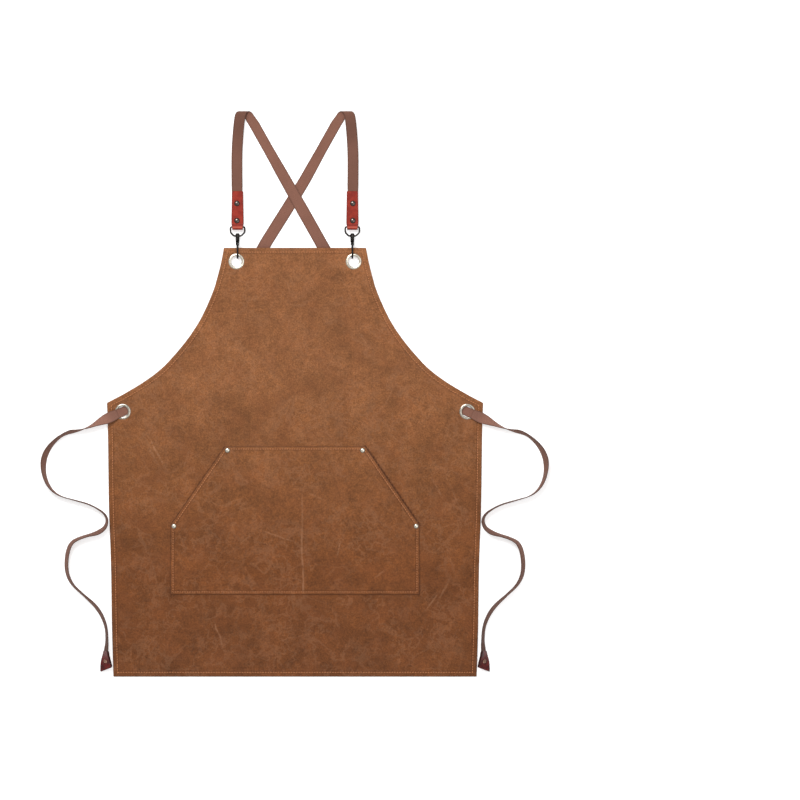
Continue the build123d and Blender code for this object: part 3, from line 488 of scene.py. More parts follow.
# painted reflection: the tab rivets' nickel is made dark to stand in for the dark reflection on their domed heads
M_RIVET = metal_material("nickel_rivet_painted_dark", (0.098, 0.080, 0.072), (0.052, 0.042, 0.038), 0.10, 0.06, 0.10)
M_COPPER = metal_material("copper_plated_rivet", (0.66, 0.40, 0.30), (0.46, 0.25, 0.18), 0.24, 0.12)
M_SPRING = metal_material("drawn_spring_wire", (0.11, 0.11, 0.115), (0.06, 0.06, 0.062), 0.30, 0.14)
M_THREAD = thread_material("orange_thread", (0.50, 0.205, 0.085))


# ------------------------------------------------------------------ mesh makers
def make_object(name, verts, faces, mat, body, uvs=None, smooth_shade=True):
    me = bpy.data.meshes.new(name)
    me.from_pydata([tuple(map(float, v)) for v in verts], [], faces)
    if uvs is not None:
        lay = me.uv_layers.new(name="UVMap")
        loop_v = np.zeros(len(me.loops), np.int32)
        me.loops.foreach_get("vertex_index", loop_v)
        lay.data.foreach_set("uv", np.asarray(uvs, np.float32)[loop_v].ravel())
    me.materials.append(mat)
    me.validate()
    me.update()
    if smooth_shade:
        me.polygons.foreach_set("use_smooth", [True] * len(me.polygons))
    o = bpy.data.objects.new(name, me)
    scene.collection.objects.link(o)
    if body:
        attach(o, body)
    return o


def ribbon(name, P, W, N, hw, t, mat, body, ribs=8, relief=0.10, cup=None, per_rib=4, post=None,
           roundness=0.5):
    """A woven band or leather strip, in mm: centre line P, width direction W, face normal N."""
    n = len(P)
    hw = np.broadcast_to(np.asarray(hw, float), (n,))
    t = np.broadcast_to(np.asarray(t, float), (n,))
    k = ribs * per_rib if ribs else 12
    a = np.linspace(-1, 1, k + 1)
    rel = relief * (np.abs(np.sin(np.linspace(0, math.pi * max(ribs, 1), k + 1))) - 0.6) if ribs else np.zeros(k + 1)
    e = 1 - roundness * 0.10
    top = [(ai * e, 0.5, ri) for ai, ri in zip(a, rel)]
    bot = [(ai * e, -0.5, -ri) for ai, ri in zip(a[::-1], rel[::-1])]
    side = [(1 - (1 - e) * 0.3, 0.36, 0), (1.0, 0.0, 0), (1 - (1 - e) * 0.3, -0.36, 0)]
    sec = top + side + bot + [(-s[0], -s[1], 0) for s in side]
    m = len(sec)
    s = np.r_[0, np.cumsum(np.linalg.norm(np.diff(P, axis=0), axis=1))]
    V = np.zeros((n, m, 3))
    UV = np.zeros((n, m, 2))
    for j, (ai, bi, ri) in enumerate(sec):
        off = W * (ai * hw)[:, None] + N * (bi * t + ri)[:, None]
        if cup is not None:
            off = off + N * (cup * ai * ai)[:, None]
        V[:, j] = P + off
        UV[:, j, 0] = 0.5 + 0.5 * ai
        UV[:, j, 1] = s * MM
    if post is not None:
        V = post(V)
    V = V.reshape(-1, 3) * MM
    faces = []
    for i in range(n - 1):
        for j in range(m):
            j2 = (j + 1) % m
            faces.append((i * m + j, i * m + j2, (i + 1) * m + j2, (i + 1) * m + j))
    faces.append(tuple(range(m - 1, -1, -1)))
    faces.append(tuple((n - 1) * m + j for j in range(m)))
    return make_object(name, V, faces, mat, body, UV.reshape(-1, 2))


def frames_along(P, up):
    """Tangent, width direction and normal along a line, given a rough normal at each point."""
    T = np.gradient(P, axis=0)
    T /= np.linalg.norm(T, axis=1)[:, None]
    up = np.broadcast_to(np.asarray(up, float), P.shape)
    W = np.cross(T, up)
    W /= np.linalg.norm(W, axis=1)[:, None]
    N = np.cross(W, T)
    return T, W, N


def capsules(name, centres, dirs, ups, length, radius, mat, body, flat=0.75, seed=1):
    """Many thread stitches in one mesh: short rounded lozenges lying on the cloth."""
    r = np.random.default_rng(seed)
    rings = [(-0.5, 0.35), (-0.42, 0.8), (-0.2, 1.0), (0.2, 1.0), (0.42, 0.8), (0.5, 0.35)]
    k = 6
    V, F = [], []
    for c, d, u in zip(centres, dirs, ups):
        w = np.cross(u, d)
        w /= np.linalg.norm(w)
        L = length * r.uniform(0.92, 1.06)
        base = len(V)
        for q, (tt, rr) in enumerate(rings):
            sag = -0.55 * radius * (abs(tt) * 2) ** 2
            for j in range(k):
                an = 2 * math.pi * j / k
                V.append(c + d * (tt * L) + w * (math.cos(an) * radius * rr)
                         + u * (math.sin(an) * radius * rr * flat + sag))
        for q in range(len(rings) - 1):
            for j in range(k):
                j2 = (j + 1) % k
                F.append((base + q * k + j, base + q * k + j2, base + (q + 1) * k + j2, base + (q + 1) * k + j))
        F.append(tuple(base + j for j in range(k - 1, -1, -1)))
        F.append(tuple(base + (len(rings) - 1) * k + j for j in range(k)))
    return make_object(name, np.array(V) * MM, F, mat, body)


# ------------------------------------------------------------------ ties (free cords)
LEAN_KEYS = [(0, -90), (18, -80), (32, -47), (44, -25), (56, -11), (70, 2), (90, 19), (110, 10.7), (130, 17.5),
             (150, 26.4), (168, 27.8), (190, 18), (210, 12.5), (228, 5), (246, -1), (264, -3.8), (290, -5.8), (310, -6),
             (330, -11), (350, -17), (370, -24), (390, -12), (410, -13.5), (430, -22), (450, -22.5), (470, -21.7),
             (490, -19.4), (510, -14.4), (530, -12.7), (550, -18.3), (570, -21.3), (590, -18.5), (608, -15.5),
             (624, -16), (638, -19), (700, -22)]


def tip_lean(y):
    return 24 + 38 * smooth(TIP_C[1] - np.asarray(y, float), -19, 11)


TIP_Z = TIP_W / 2 * math.cos(math.radians(TIP_LEAN)) + TIP_T / 2 * math.sin(math.radians(TIP_LEAN))


def tie_alpha(P2):
    """Lean of the standing webbing at each point: 90 is flat, 0 stands on edge."""
    pts = np.asarray(P2, float)
    s = np.r_[0, np.cumsum(np.linalg.norm(np.diff(pts, axis=0), axis=1))]
    ks, ka = zip(*LEAN_KEYS)
    fine = np.linspace(0, s[-1], 800)
    a = np.interp(fine, ks, ka)
    kern = np.hanning(17)
    kern /= kern.sum()
    a2 = np.convolve(np.pad(a, 8, mode="edge"), kern, mode="valid")
    return np.interp(s, fine, a2)


def tie(side):
    word = "right" if side > 0 else "left"
    route = list(TIE_ROUTE) + [(343.5, -478.0), (343.4, -491.0)]
    xy = np.array([(x * side, y) for x, y in route])
    al = tie_alpha(xy)
    lift = LEAD_Z * (1 - smooth(np.hypot(xy[:, 0] - WAIST_EYE[0] * side, xy[:, 1] - WAIST_EYE[1]), 34, 66))
    z = (WEB_W / 2) * np.cos(np.radians(al)) + 0.8 * np.abs(np.sin(np.radians(al))) + lift
    z[0] = LEAD_Z + 0.75
    tl = np.radians(tip_lean(xy[:, 1]))
    in_tip = smooth(-xy[:, 1], 450, 468) * (np.arange(len(xy)) > 15)
    z = z * (1 - in_tip) + (TIP_W / 2 * np.cos(tl) + TIP_T / 2 * np.sin(tl)) * in_tip
    cu = bpy.data.curves.new("tie_route_" + word, "CURVE")
    cu.dimensions = "3D"
    sp = cu.splines.new("NURBS")
    sp.points.add(len(route) - 1)
    for i, ((px, py), pz) in enumerate(zip(xy, z)):
        sp.points[i].co = (px * MM, py * MM, pz * MM, 1.0)
    sp.order_u = 3
    sp.use_endpoint_u = True
    cu.resolution_u = 16
    ob = bpy.data.objects.new("tie_route_" + word, cu)
    scene.collection.objects.link(ob)
    bpy.context.view_layer.update()
    me = bpy.data.meshes.new_from_object(ob)
    line = np.array([v.co[:] for v in me.vertices]) / MM
    bpy.data.objects.remove(ob)
    P, s = resample(line, step=2.2)
    k = smooth(-P[:, 1], 450, 468) * (s > 560)
    a = np.radians(tie_alpha(P[:, :2]) * (1 - k) - tip_lean(P[:, 1]) * k)
    T = np.gradient(P, axis=0)
    T /= np.linalg.norm(T, axis=1)[:, None]
    H = np.cross(np.broadcast_to([0.0, 0.0, 1.0], P.shape), T)
    H /= np.linalg.norm(H, axis=1)[:, None]
    Z = np.cross(T, H)
    W = Z * np.cos(a)[:, None] + H * (side * np.sin(a))[:, None]
    N = np.cross(W, T)
    u = np.hypot(P[:, 0] - WAIST_EYE[0] * side, P[:, 1] - WAIST_EYE[1])
    hw = 8.3 + 1.6 * smooth(u, 8, 24)
    # a slight cross-curl that changes along the length
    cup = 0.4 * np.sin(s / 41.0 + 0.6) * smooth(u, 40, 80)

    def post(V):
        V[..., 2] = np.maximum(V[..., 2], 0.12)
        return V
    o = ribbon("tie_webbing_" + word, P, W, N, hw, WEB_T, M_TIE, "apron", cup=cup, post=post)
    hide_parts("tie_" + word)
    return o, P


# ------------------------------------------------------------------ leather tips
def leather_tip(side):
    word = "right" if side > 0 else "left"
    r = TIP_T / 2 - 0.8
    top, low = TIP_L / 2, -TIP_L / 2 + r + 0.75
    pts = [(top, r - 0.25), (top - 6, r - 0.1), (top - 14, r), (4, r), (-6, r), (low, r)]
    for k in range(1, 8):
        an = math.pi * k / 8
        pts.append((low - r * math.sin(an) * 1.0, r * math.cos(an)))
    pts += [(low, -r), (-6, -r), (4, -r), (top - 14, -r), (top - 6, -r + 0.1), (top, -r + 0.25)]
    Q = catmull(pts, 1.0)
    Q, s = resample(Q, step=0.9)
    lean = np.radians(tip_lean(TIP_C[1] + Q[:, 0]))
    w_dir = np.stack([-np.sin(lean) * side, 0 * lean, np.cos(lean)], 1)
    n_dir = np.stack([np.cos(lean) * side, 0 * lean, np.sin(lean)], 1)
    zc = (TIP_W / 2) * np.cos(lean) + (TIP_T / 2) * np.sin(lean)
    c = np.stack([np.full(len(Q), TIP_C[0] * side), TIP_C[1] + Q[:, 0], zc], 1)
    P = c + Q[:, 1:2] * n_dir
    T = np.gradient(P, axis=0)
    T /= np.linalg.norm(T, axis=1)[:, None]
    W = w_dir - (w_dir * T).sum(1)[:, None] * T
    W /= np.linalg.norm(W, axis=1)[:, None]
    N = np.cross(W, T)
    hw = 10.4 + 1.2 * smooth(-Q[:, 0], -top, top) + 0.0 * s
    end = np.minimum(s, s[-1] - s)
    hw = hw - 1.8 * (1 - smooth(end, 0, 4.0)) ** 2


    def post(V):
        # the folded end is cut on a slant: longer on its outer side
        t = smooth(TIP_C[1] - V[..., 1], 4, 19)
        V[..., 1] -= t * (0.40 * (V[..., 0] * side - TIP_C[0]) - 3.6)
        return V
    o = ribbon("leather_tip_" + word, P, W, N, hw, 1.5, M_TIP, "apron", ribs=0, roundness=0.35, post=post)
    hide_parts("tie_tip_" + word)
    return o


for side in (1, -1):
    band, path = tie(side)
    tip = leather_tip(side)


# ------------------------------------------------------------------ panel
arm = catmull(OUTLINE[:12], 3.0)
side_pts = catmull(OUTLINE[11:], 5.0)
RIGHT = np.vstack([arm, side_pts[1:]])
LOOP = np.vstack([RIGHT, RIGHT[::-1] * [-1, 1]])
LA, LB = LOOP, np.roll(LOOP, -1, 0)

POCKET_LOOP = np.array([(POCKET_HT, POCKET_Y1), (POCKET_HB, POCKET_YS), (POCKET_HB, POCKET_Y0),
                        (-POCKET_HB, POCKET_Y0), (-POCKET_HB, POCKET_YS), (-POCKET_HT, POCKET_Y1)])
SEWN = [((-POCKET_HT, POCKET_Y1), (POCKET_HT, POCKET_Y1)), ((POCKET_HB, POCKET_YS), (POCKET_HB, POCKET_Y0)),
        ((POCKET_HB, POCKET_Y0), (-POCKET_HB, POCKET_Y0)), ((-POCKET_HB, POCKET_Y0), (-POCKET_HB, POCKET_YS))]
DIAG = [((POCKET_HT, POCKET_Y1), (POCKET_HB, POCKET_YS)), ((-POCKET_HB, POCKET_YS), (-POCKET_HT, POCKET_Y1))]


def segs(pairs):
    return np.array([p[0] for p in pairs], float), np.array([p[1] for p in pairs], float)


LEAN = math.tan(math.radians(29.4))


def at_hole(u, v, side=1):
    return (side * (WAIST_EYE[0] + UX * u - UY * v), WAIST_EYE[1] + UY * u + UX * v)


BACK = [(51.9, 268.9), (110.0, 165.8), (160.0, 77.1), (200.0, 31.0), at_hole(-60, 0), at_hole(-16, 0)]


def inside_pocket(P):
    x, y = np.abs(P[:, 0]), P[:, 1]
    w = np.where(y < POCKET_YS, POCKET_HB,
                 POCKET_HB + (POCKET_HT - POCKET_HB) * (y - POCKET_YS) / (POCKET_Y1 - POCKET_YS))
    return (y > POCKET_Y0) & (y < POCKET_Y1) & (x < w)


def panel_mid(P):
    """Height of the middle of the panel's cloth, mm."""
    P = np.asarray(P, float)
    x, y = P[:, 0], P[:, 1]
    d = seg_dist(P, LA, LB)
    low = 2.25 + 0.42 * ripple(P, 11, 150) + 0.22 * ripple(P, 12, 60)
    bones = catmull(BACK, 6.0)
    ds = np.minimum(seg_dist(P, bones[:-1], bones[1:]),
                    seg_dist(P, bones[:-1] * [-1, 1], bones[1:] * [-1, 1]))
    over = 1 - smooth(ds, 10.5, 24)
    low = low * (1 - over) + np.maximum(low, 2.35) * over
    dp = seg_dist(P, *segs(SEWN))
    seam = 1 - smooth(dp, 4, 16)
    low = low * (1 - seam) + 2.5 * seam
    for rx, ry in POCKET_RIVETS:
        k = 1 - smooth(np.hypot(x - rx, y - ry), 4, 11)
        low = low * (1 - k) + 3.05 * k
    t = smooth(d, 10, 44)
    z = 3.3 * (1 - t) + low * t
    for ex in (-WAIST_EYE[0], WAIST_EYE[0]):
        k = 1 - smooth(np.hypot(x - ex, y - WAIST_EYE[1]), 15, 34)
        z = z * (1 - k) + 3.3 * k
    top = smooth(y, 132, 222)
    z = z + 4.6 * top
    flat = smooth(y, 205, 232)
    z = z * (1 - flat) + (7.9 + 0.0 * x) * flat + flat * 0.35 * ripple(P, 15, 90) * smooth(
        np.minimum(np.hypot(np.abs(x) - BIB_EYE[0], y - BIB_EYE[1]), 400), 16, 40) * smooth(d, 6, 30)
    # the stitched groove and the small puckers beside it
    z = z - 0.34 * np.exp(-((d - 7.6) / 1.15) ** 2)
    z = z + 0.13 * ripple(P, 21, 11) * (1 - smooth(d, 9, 17)) * smooth(d, 1.5, 5)
    z = z + 0.10 * np.exp(-((d - 12.5) / 2.5) ** 2) * 0 - 0.25 * np.exp(-((d - 13.2) / 1.6) ** 2)
    return z


def panel_surface(P):
    return panel_mid(P) + 0.45


def hem_radius(y):
    return 1.22 - 0.50 * smooth(y, 150, 225)


def graded(total, fine=1.6, mid=2.6, coarse=5.0):
    """Distances from an edge: fine first, then coarser."""
    out, d = [0.0], 0.0
    while d < total:
        d += fine if d < 17 else (mid if d < 42 else coarse)
        out.append(d)
    out = np.array(out)
    return out * (total / out[-1])


def grid_sheet(loop_right, rows, col_half, mid_fn, wrap, thick, name, mat, body, holes=(), hole_r=11.4,
               uv_fn=None):
    """A cloth sheet, symmetrical in plan, whose edge is turned under. loop_right is its right edge, top to bottom."""
    R = np.asarray(loop_right, float)
    ys, ws = R[::-1, 1], R[::-1, 0]
    w = np.interp(rows, ys, ws)
    W0 = ws.max()
    f = 1 - graded(W0, *col_half)[::-1] / W0
    f = np.unique(np.round(np.r_[-f[::-1], f], 7))
    f[0], f[-1] = -1, 1
    f = np.array([v for i, v in enumerate(f)])
    f = -f[::-1] if abs(f[0] + 1) > 1e-6 else f
    nx, ny = len(f), len(rows)
    X = f[None, :] * w[:, None]
    Y = np.repeat(rows[:, None], nx, 1)
    P = np.stack([X.ravel(), Y.ravel()], 1)
    Zm = mid_fn(P)
    V = np.column_stack([P, Zm])
    idx = np.arange(nx * ny).reshape(ny, nx)
    quads = np.stack([idx[:-1, :-1], idx[:-1, 1:], idx[1:, 1:], idx[1:, :-1]], -1).reshape(-1, 4)
    kill = np.zeros(len(V), bool)
    for cx, cy in holes:
        r = np.hypot(V[:, 0] - cx, V[:, 1] - cy)
        kill |= r < hole_r - 0.4
    q = quads[~kill[quads].any(1)]
    # vertices left on a hole's rim go onto its circle
    used = np.zeros(len(V), bool)
    used[q.ravel()] = True
    dead = quads[kill[quads].any(1)]
    rim = np.zeros(len(V), bool)
    rim[dead.ravel()] = True
    rim &= used
    for cx, cy in holes:
        r = np.hypot(V[:, 0] - cx, V[:, 1] - cy)
        pick = rim & (r < hole_r + 9)
        k = hole_r / r[pick]
        V[pick, 0] = cx + (V[pick, 0] - cx) * k
        V[pick, 1] = cy + (V[pick, 1] - cy) * k
    verts = [V]
    # the border, clockwise from the top right corner
    border = np.r_[idx[::-1, -1], idx[0, ::-1][1:], idx[:, 0][1:], idx[-1, :][1:-1]]
    B = V[border]
    _, out = inset_loop(B[:, :2], 0.0)
    out = -out
    count = len(V)
    prev = border
    faces = [tuple(int(a) for a in r) for r in q]
    r = wrap["r"](B[:, 1])
    rings = []
    for k in range(1, 7):
        an = math.pi * k / 6
        rings.append((r * math.sin(an), r * (1 - math.cos(an))))
    for inn in wrap["in"]:
        rings.append((-inn * np.ones(len(B)), 2 * r))
    rings.append((-(wrap["in"][-1] + 0.6) * np.ones(len(B)), 2 * r - 0.35 * np.minimum(r, 1.0)))
    rings.append((-(wrap["in"][-1] + 0.3) * np.ones(len(B)), 2 * r - 0.9 * np.minimum(r, 1.0)))
    rings.append((-(wrap["in"][-1] - 0.8) * np.ones(len(B)), 2 * r - 1.0 * np.minimum(r, 1.0)))
    n = len(border)
    # at the square corners the side's turned strip lies under the other one
    cor = V[[idx[-1, -1], idx[0, -1], idx[0, 0], idx[-1, 0]], :2]
    dcor = np.hypot(B[:, None, 0] - cor[None, :, 0], B[:, None, 1] - cor[None, :, 1]).min(1)
    step = 0.26 * (np.abs(out[:, 0]) > 0.80) * (1 - smooth(dcor, 12, 22))
    for o_, dz in rings:
        ring = np.column_stack([B[:, :2] + out * o_[:, None], B[:, 2] - dz - step * (o_ < 0)])
        verts.append(ring)
        cur = np.arange(count, count + n)
        count += n
        for i in range(n):
            j = (i + 1) % n
            faces.append((int(prev[i]), int(prev[j]), int(cur[j]), int(cur[i])))
        prev = cur
    V = np.vstack(verts)
    live = np.zeros(len(V), bool)
    for fc in faces:
        for a in fc:
            live[a] = True
    remap_i = np.cumsum(live) - 1
    faces = [tuple(int(remap_i[a]) for a in fc) for fc in faces]
    o = make_object(name, V[live] * MM, faces, mat, None, uvs=uv_fn(V[live]) if uv_fn else None)
    md = o.modifiers.new("solid", "SOLIDIFY")
    md.thickness = thick * MM
    md.offset = 0.0
    md.use_even_offset = False
    bpy.context.view_layer.update()
    dg = bpy.context.evaluated_depsgraph_get()
    me = bpy.data.meshes.new_from_object(o.evaluated_get(dg))
    o.modifiers.clear()
    o.data = me
    me.polygons.foreach_set("use_smooth", [True] * len(me.polygons))
    if name == "apron_cloth":
        # the painted shadow around the pocket belongs to the front face only
        nz, tot = np.zeros(len(me.polygons) * 3), np.zeros(len(me.polygons), int)
        me.polygons.foreach_get("normal", nz)
        me.polygons.foreach_get("loop_total", tot)
        uvs = np.zeros(len(me.loops) * 2)
        me.uv_layers[0].data.foreach_get("uv", uvs)
        uvs = uvs.reshape(-1, 2)
        uvs[np.repeat(nz[2::3] < -0.3, tot), 1] = 0.5
        me.uv_layers[0].data.foreach_set("uv", uvs.ravel())
    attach(o, body)
    return o


def panel_uv(V):
    """Distance from the hem, and from the outline of the pocket, both over 100 mm."""
    d = seg_dist(V[:, :2], LA, LB)
    dp = seg_dist(V[:, :2], POCKET_LOOP, np.roll(POCKET_LOOP, -1, 0))
    front = V[:, 2] > panel_mid(V[:, :2]) - 1.0
    # the painted shadow reaches further out beside the pocket's right diagonal mouth
    da = np.array([[POCKET_HT, POCKET_Y1]])
    db = np.array([[POCKET_HB, POCKET_YS]])
    dp = np.minimum(dp, np.maximum(seg_dist(V[:, :2], da, db) - 1.6, 0) / 1.25)
    dp = np.where(front, dp, 50.0)
    return np.stack([d / 100, dp / 100], 1)


# right edge of the panel, moved in by the hem's roundness
inner, _ = inset_loop(LOOP, np.where(LOOP[:, 1] > 200, 0.9, 1.35))
edge_r = inner[:len(RIGHT)]
ytop, ybot = edge_r[0, 1], edge_r[-1, 1]
low_rows = ybot + graded(430, 1.6, 2.6, 4.6)
low_rows = low_rows[low_rows < -60]
fine_rows = np.arange(-59, 40, 1.7)
up_rows = ytop - graded(230, 1.6, 2.4, 3.6)[::-1]
up_rows = up_rows[up_rows > 41.5]
ROWS = np.r_[low_rows, fine_rows, up_rows]
yc = edge_r[np.argmax(edge_r[:, 0]), 1]
ROWS[np.abs(ROWS - yc).argmin()] = yc

panel = grid_sheet(edge_r, ROWS, (1.6, 2.6, 5.0), panel_mid, {"r": hem_radius, "in": [3.0, 7.0, 10.0]}, 0.9,
                   "apron_cloth", M_PANEL, "apron",
                   holes=[(-BIB_EYE[0], BIB_EYE[1]), (BIB_EYE[0], BIB_EYE[1]),
                          (-WAIST_EYE[0], WAIST_EYE[1]), (WAIST_EYE[0], WAIST_EYE[1])],
                   uv_fn=panel_uv)
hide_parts("apron_panel")


# ------------------------------------------------------------------ pocket
def pocket_mid(P):
    P = np.asarray(P, float)
    x, y = P[:, 0], P[:, 1]
    ds = seg_dist(P, *segs(SEWN))
    dd = seg_dist(P, *segs(DIAG))
    puff = smooth(ds, 8, 80)
    z = 4.25 + 2.7 * puff
    z = z + puff * (0.45 * ripple(P, 31, 130) + 0.22 * ripple(P, 32, 48))
    z = z + 3.0 * np.exp(-(dd / 30.0) ** 2) * smooth(ds, 10, 62) * (x > 0)
    z = z + 0.4 * np.exp(-(dd / 25.0) ** 2) * smooth(ds, 12, 60) * (x < 0)
    # the crease down the middle of the lower half
    cx = 13.5 - 0.022 * y - 6.0 + 4.0
    z = z - 0.45 * np.exp(-((x - 12.0) / 2.6) ** 2) * smooth(-y, 170, 230) * puff
    dall = np.minimum(ds, dd)
    z = z - 0.26 * np.exp(-((dall - 4.6) / 1.0) ** 2)
    z = z + 0.10 * ripple(P, 33, 10) * (1 - smooth(dall, 6, 13)) * smooth(dall, 1, 4)
    for rx, ry in POCKET_RIVETS:
        r = np.hypot(x - rx, y - ry)
        k = 1 - smooth(r, 4.6, 12)
        z = z * (1 - k) + 4.3 * k
    return z


PR = np.array([(POCKET_HT, POCKET_Y1), (POCKET_HB, POCKET_YS), (POCKET_HB, POCKET_Y0)])
pl, _ = inset_loop(POCKET_LOOP, np.full(6, 0.5))
pr = pl[:3]
p_rows = np.unique(np.r_[pr[2, 1] + graded(125, 1.5, 2.4, 4.2), pr[1, 1],
                         pr[0, 1] - graded(-(pr[1, 1] - pr[0, 1]), 1.5, 2.2, 3.4)])
keep = [p_rows[0]]
for v in p_rows[1:]:
    if v - keep[-1] > 0.7 or v == pr[1, 1]:
        if v == pr[1, 1] and v - keep[-1] < 0.7:
            keep[-1] = v
        else:
            keep.append(v)
p_rows = np.array([v for v in keep if v <= pr[0, 1] + 1e-9])
p_rows[0], p_rows[-1] = pr[2, 1], pr[0, 1]
pocket = grid_sheet(pr, p_rows, (1.5, 2.4, 4.4), pocket_mid, {"r": lambda y: 0.38 + 0.0 * y, "in": [2.5, 6.0, 9.0]}, 0.72,
                    "pocket_cloth", M_POCKET, "apron",
                    uv_fn=lambda V: np.stack([seg_dist(V[:, :2], POCKET_LOOP, np.roll(POCKET_LOOP, -1, 0)) / 100,
                                              np.full(len(V), 0.5)], 1))
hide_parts("front_pocket")


# ------------------------------------------------------------------ stitching
def stitches(name, loop, closed, height, pitch, length, radius, slant=0.0, seed=3, body="apron", down=False):
    L = np.vstack([loop, loop[:1]]) if closed else np.asarray(loop, float)
    s = np.r_[0, np.cumsum(np.linalg.norm(np.diff(L, axis=0), axis=1))]
    n = int(s[-1] / pitch)
    t = (np.arange(n) + 0.5) * s[-1] / n
    r = np.random.default_rng(seed)
    C = np.stack([np.interp(t, s, L[:, k]) for k in (0, 1)], 1)
    C2 = np.stack([np.interp(np.minimum(t + 1.0, s[-1]), s, L[:, k]) for k in (0, 1)], 1)
    C1 = np.stack([np.interp(np.maximum(t - 1.0, 0), s, L[:, k]) for k in (0, 1)], 1)
    D = C2 - C1
    D /= np.linalg.norm(D, axis=1)[:, None]
    ang = slant + r.normal(0, 0.05, n) if np.isscalar(slant) else slant(C) + r.normal(0, 0.05, n)
    D = np.stack([D[:, 0] * np.cos(ang) - D[:, 1] * np.sin(ang), D[:, 0] * np.sin(ang) + D[:, 1] * np.cos(ang)], 1)
    C = C + r.normal(0, 0.06, C.shape)
    e = 1.0
    z0, z1, z2 = height(C), height(C - D * e), height(C + D * e)
    D3 = np.column_stack([D, (z2 - z1) / (2 * e)])
    D3 /= np.linalg.norm(D3, axis=1)[:, None]
    up = np.array([0, 0, -1.0 if down else 1.0])
    U = up - (D3 @ up)[:, None] * D3
    U /= np.linalg.norm(U, axis=1)[:, None]
    C3 = np.column_stack([C, z0])
    return capsules(name, C3, D3, U, length, radius, M_THREAD, body, seed=seed)


hem_line, _ = inset_loop(LOOP, np.full(len(LOOP), 7.6))
hem_line, _ = resample(np.vstack([hem_line, hem_line[:1]]), step=2.0)
hem_line = hem_line[:-1]


def arm_slant(C):
    armhole = (C[:, 1] > -12) & (C[:, 1] < 252)
    return np.where(armhole, 0.30, 0.05) * np.sign(C[:, 0])


stitches("hem_stitching", hem_line, True, lambda P: panel_surface(P) + 0.22, 4.7, 3.7, 0.62, slant=arm_slant, seed=5)
stitches("hem_stitching_back", hem_line, True,
         lambda P: panel_mid(P) + 0.34 * 1.0 - 2 * hem_radius(P[:, 1]) - 0.50, 4.7, 3.7, 0.30,
         slant=0.04, seed=6, down=True)
pk_line, _ = inset_loop(POCKET_LOOP, np.full(6, 4.6))
pk_dense, _ = resample(np.vstack([pk_line, pk_line[:1]]), step=2.0)
stitches("pocket_stitching", pk_dense[:-1], True, lambda P: pocket_mid(P) + 0.36 + 0.20, 4.4, 3.5, 0.58, slant=0.05, seed=7)


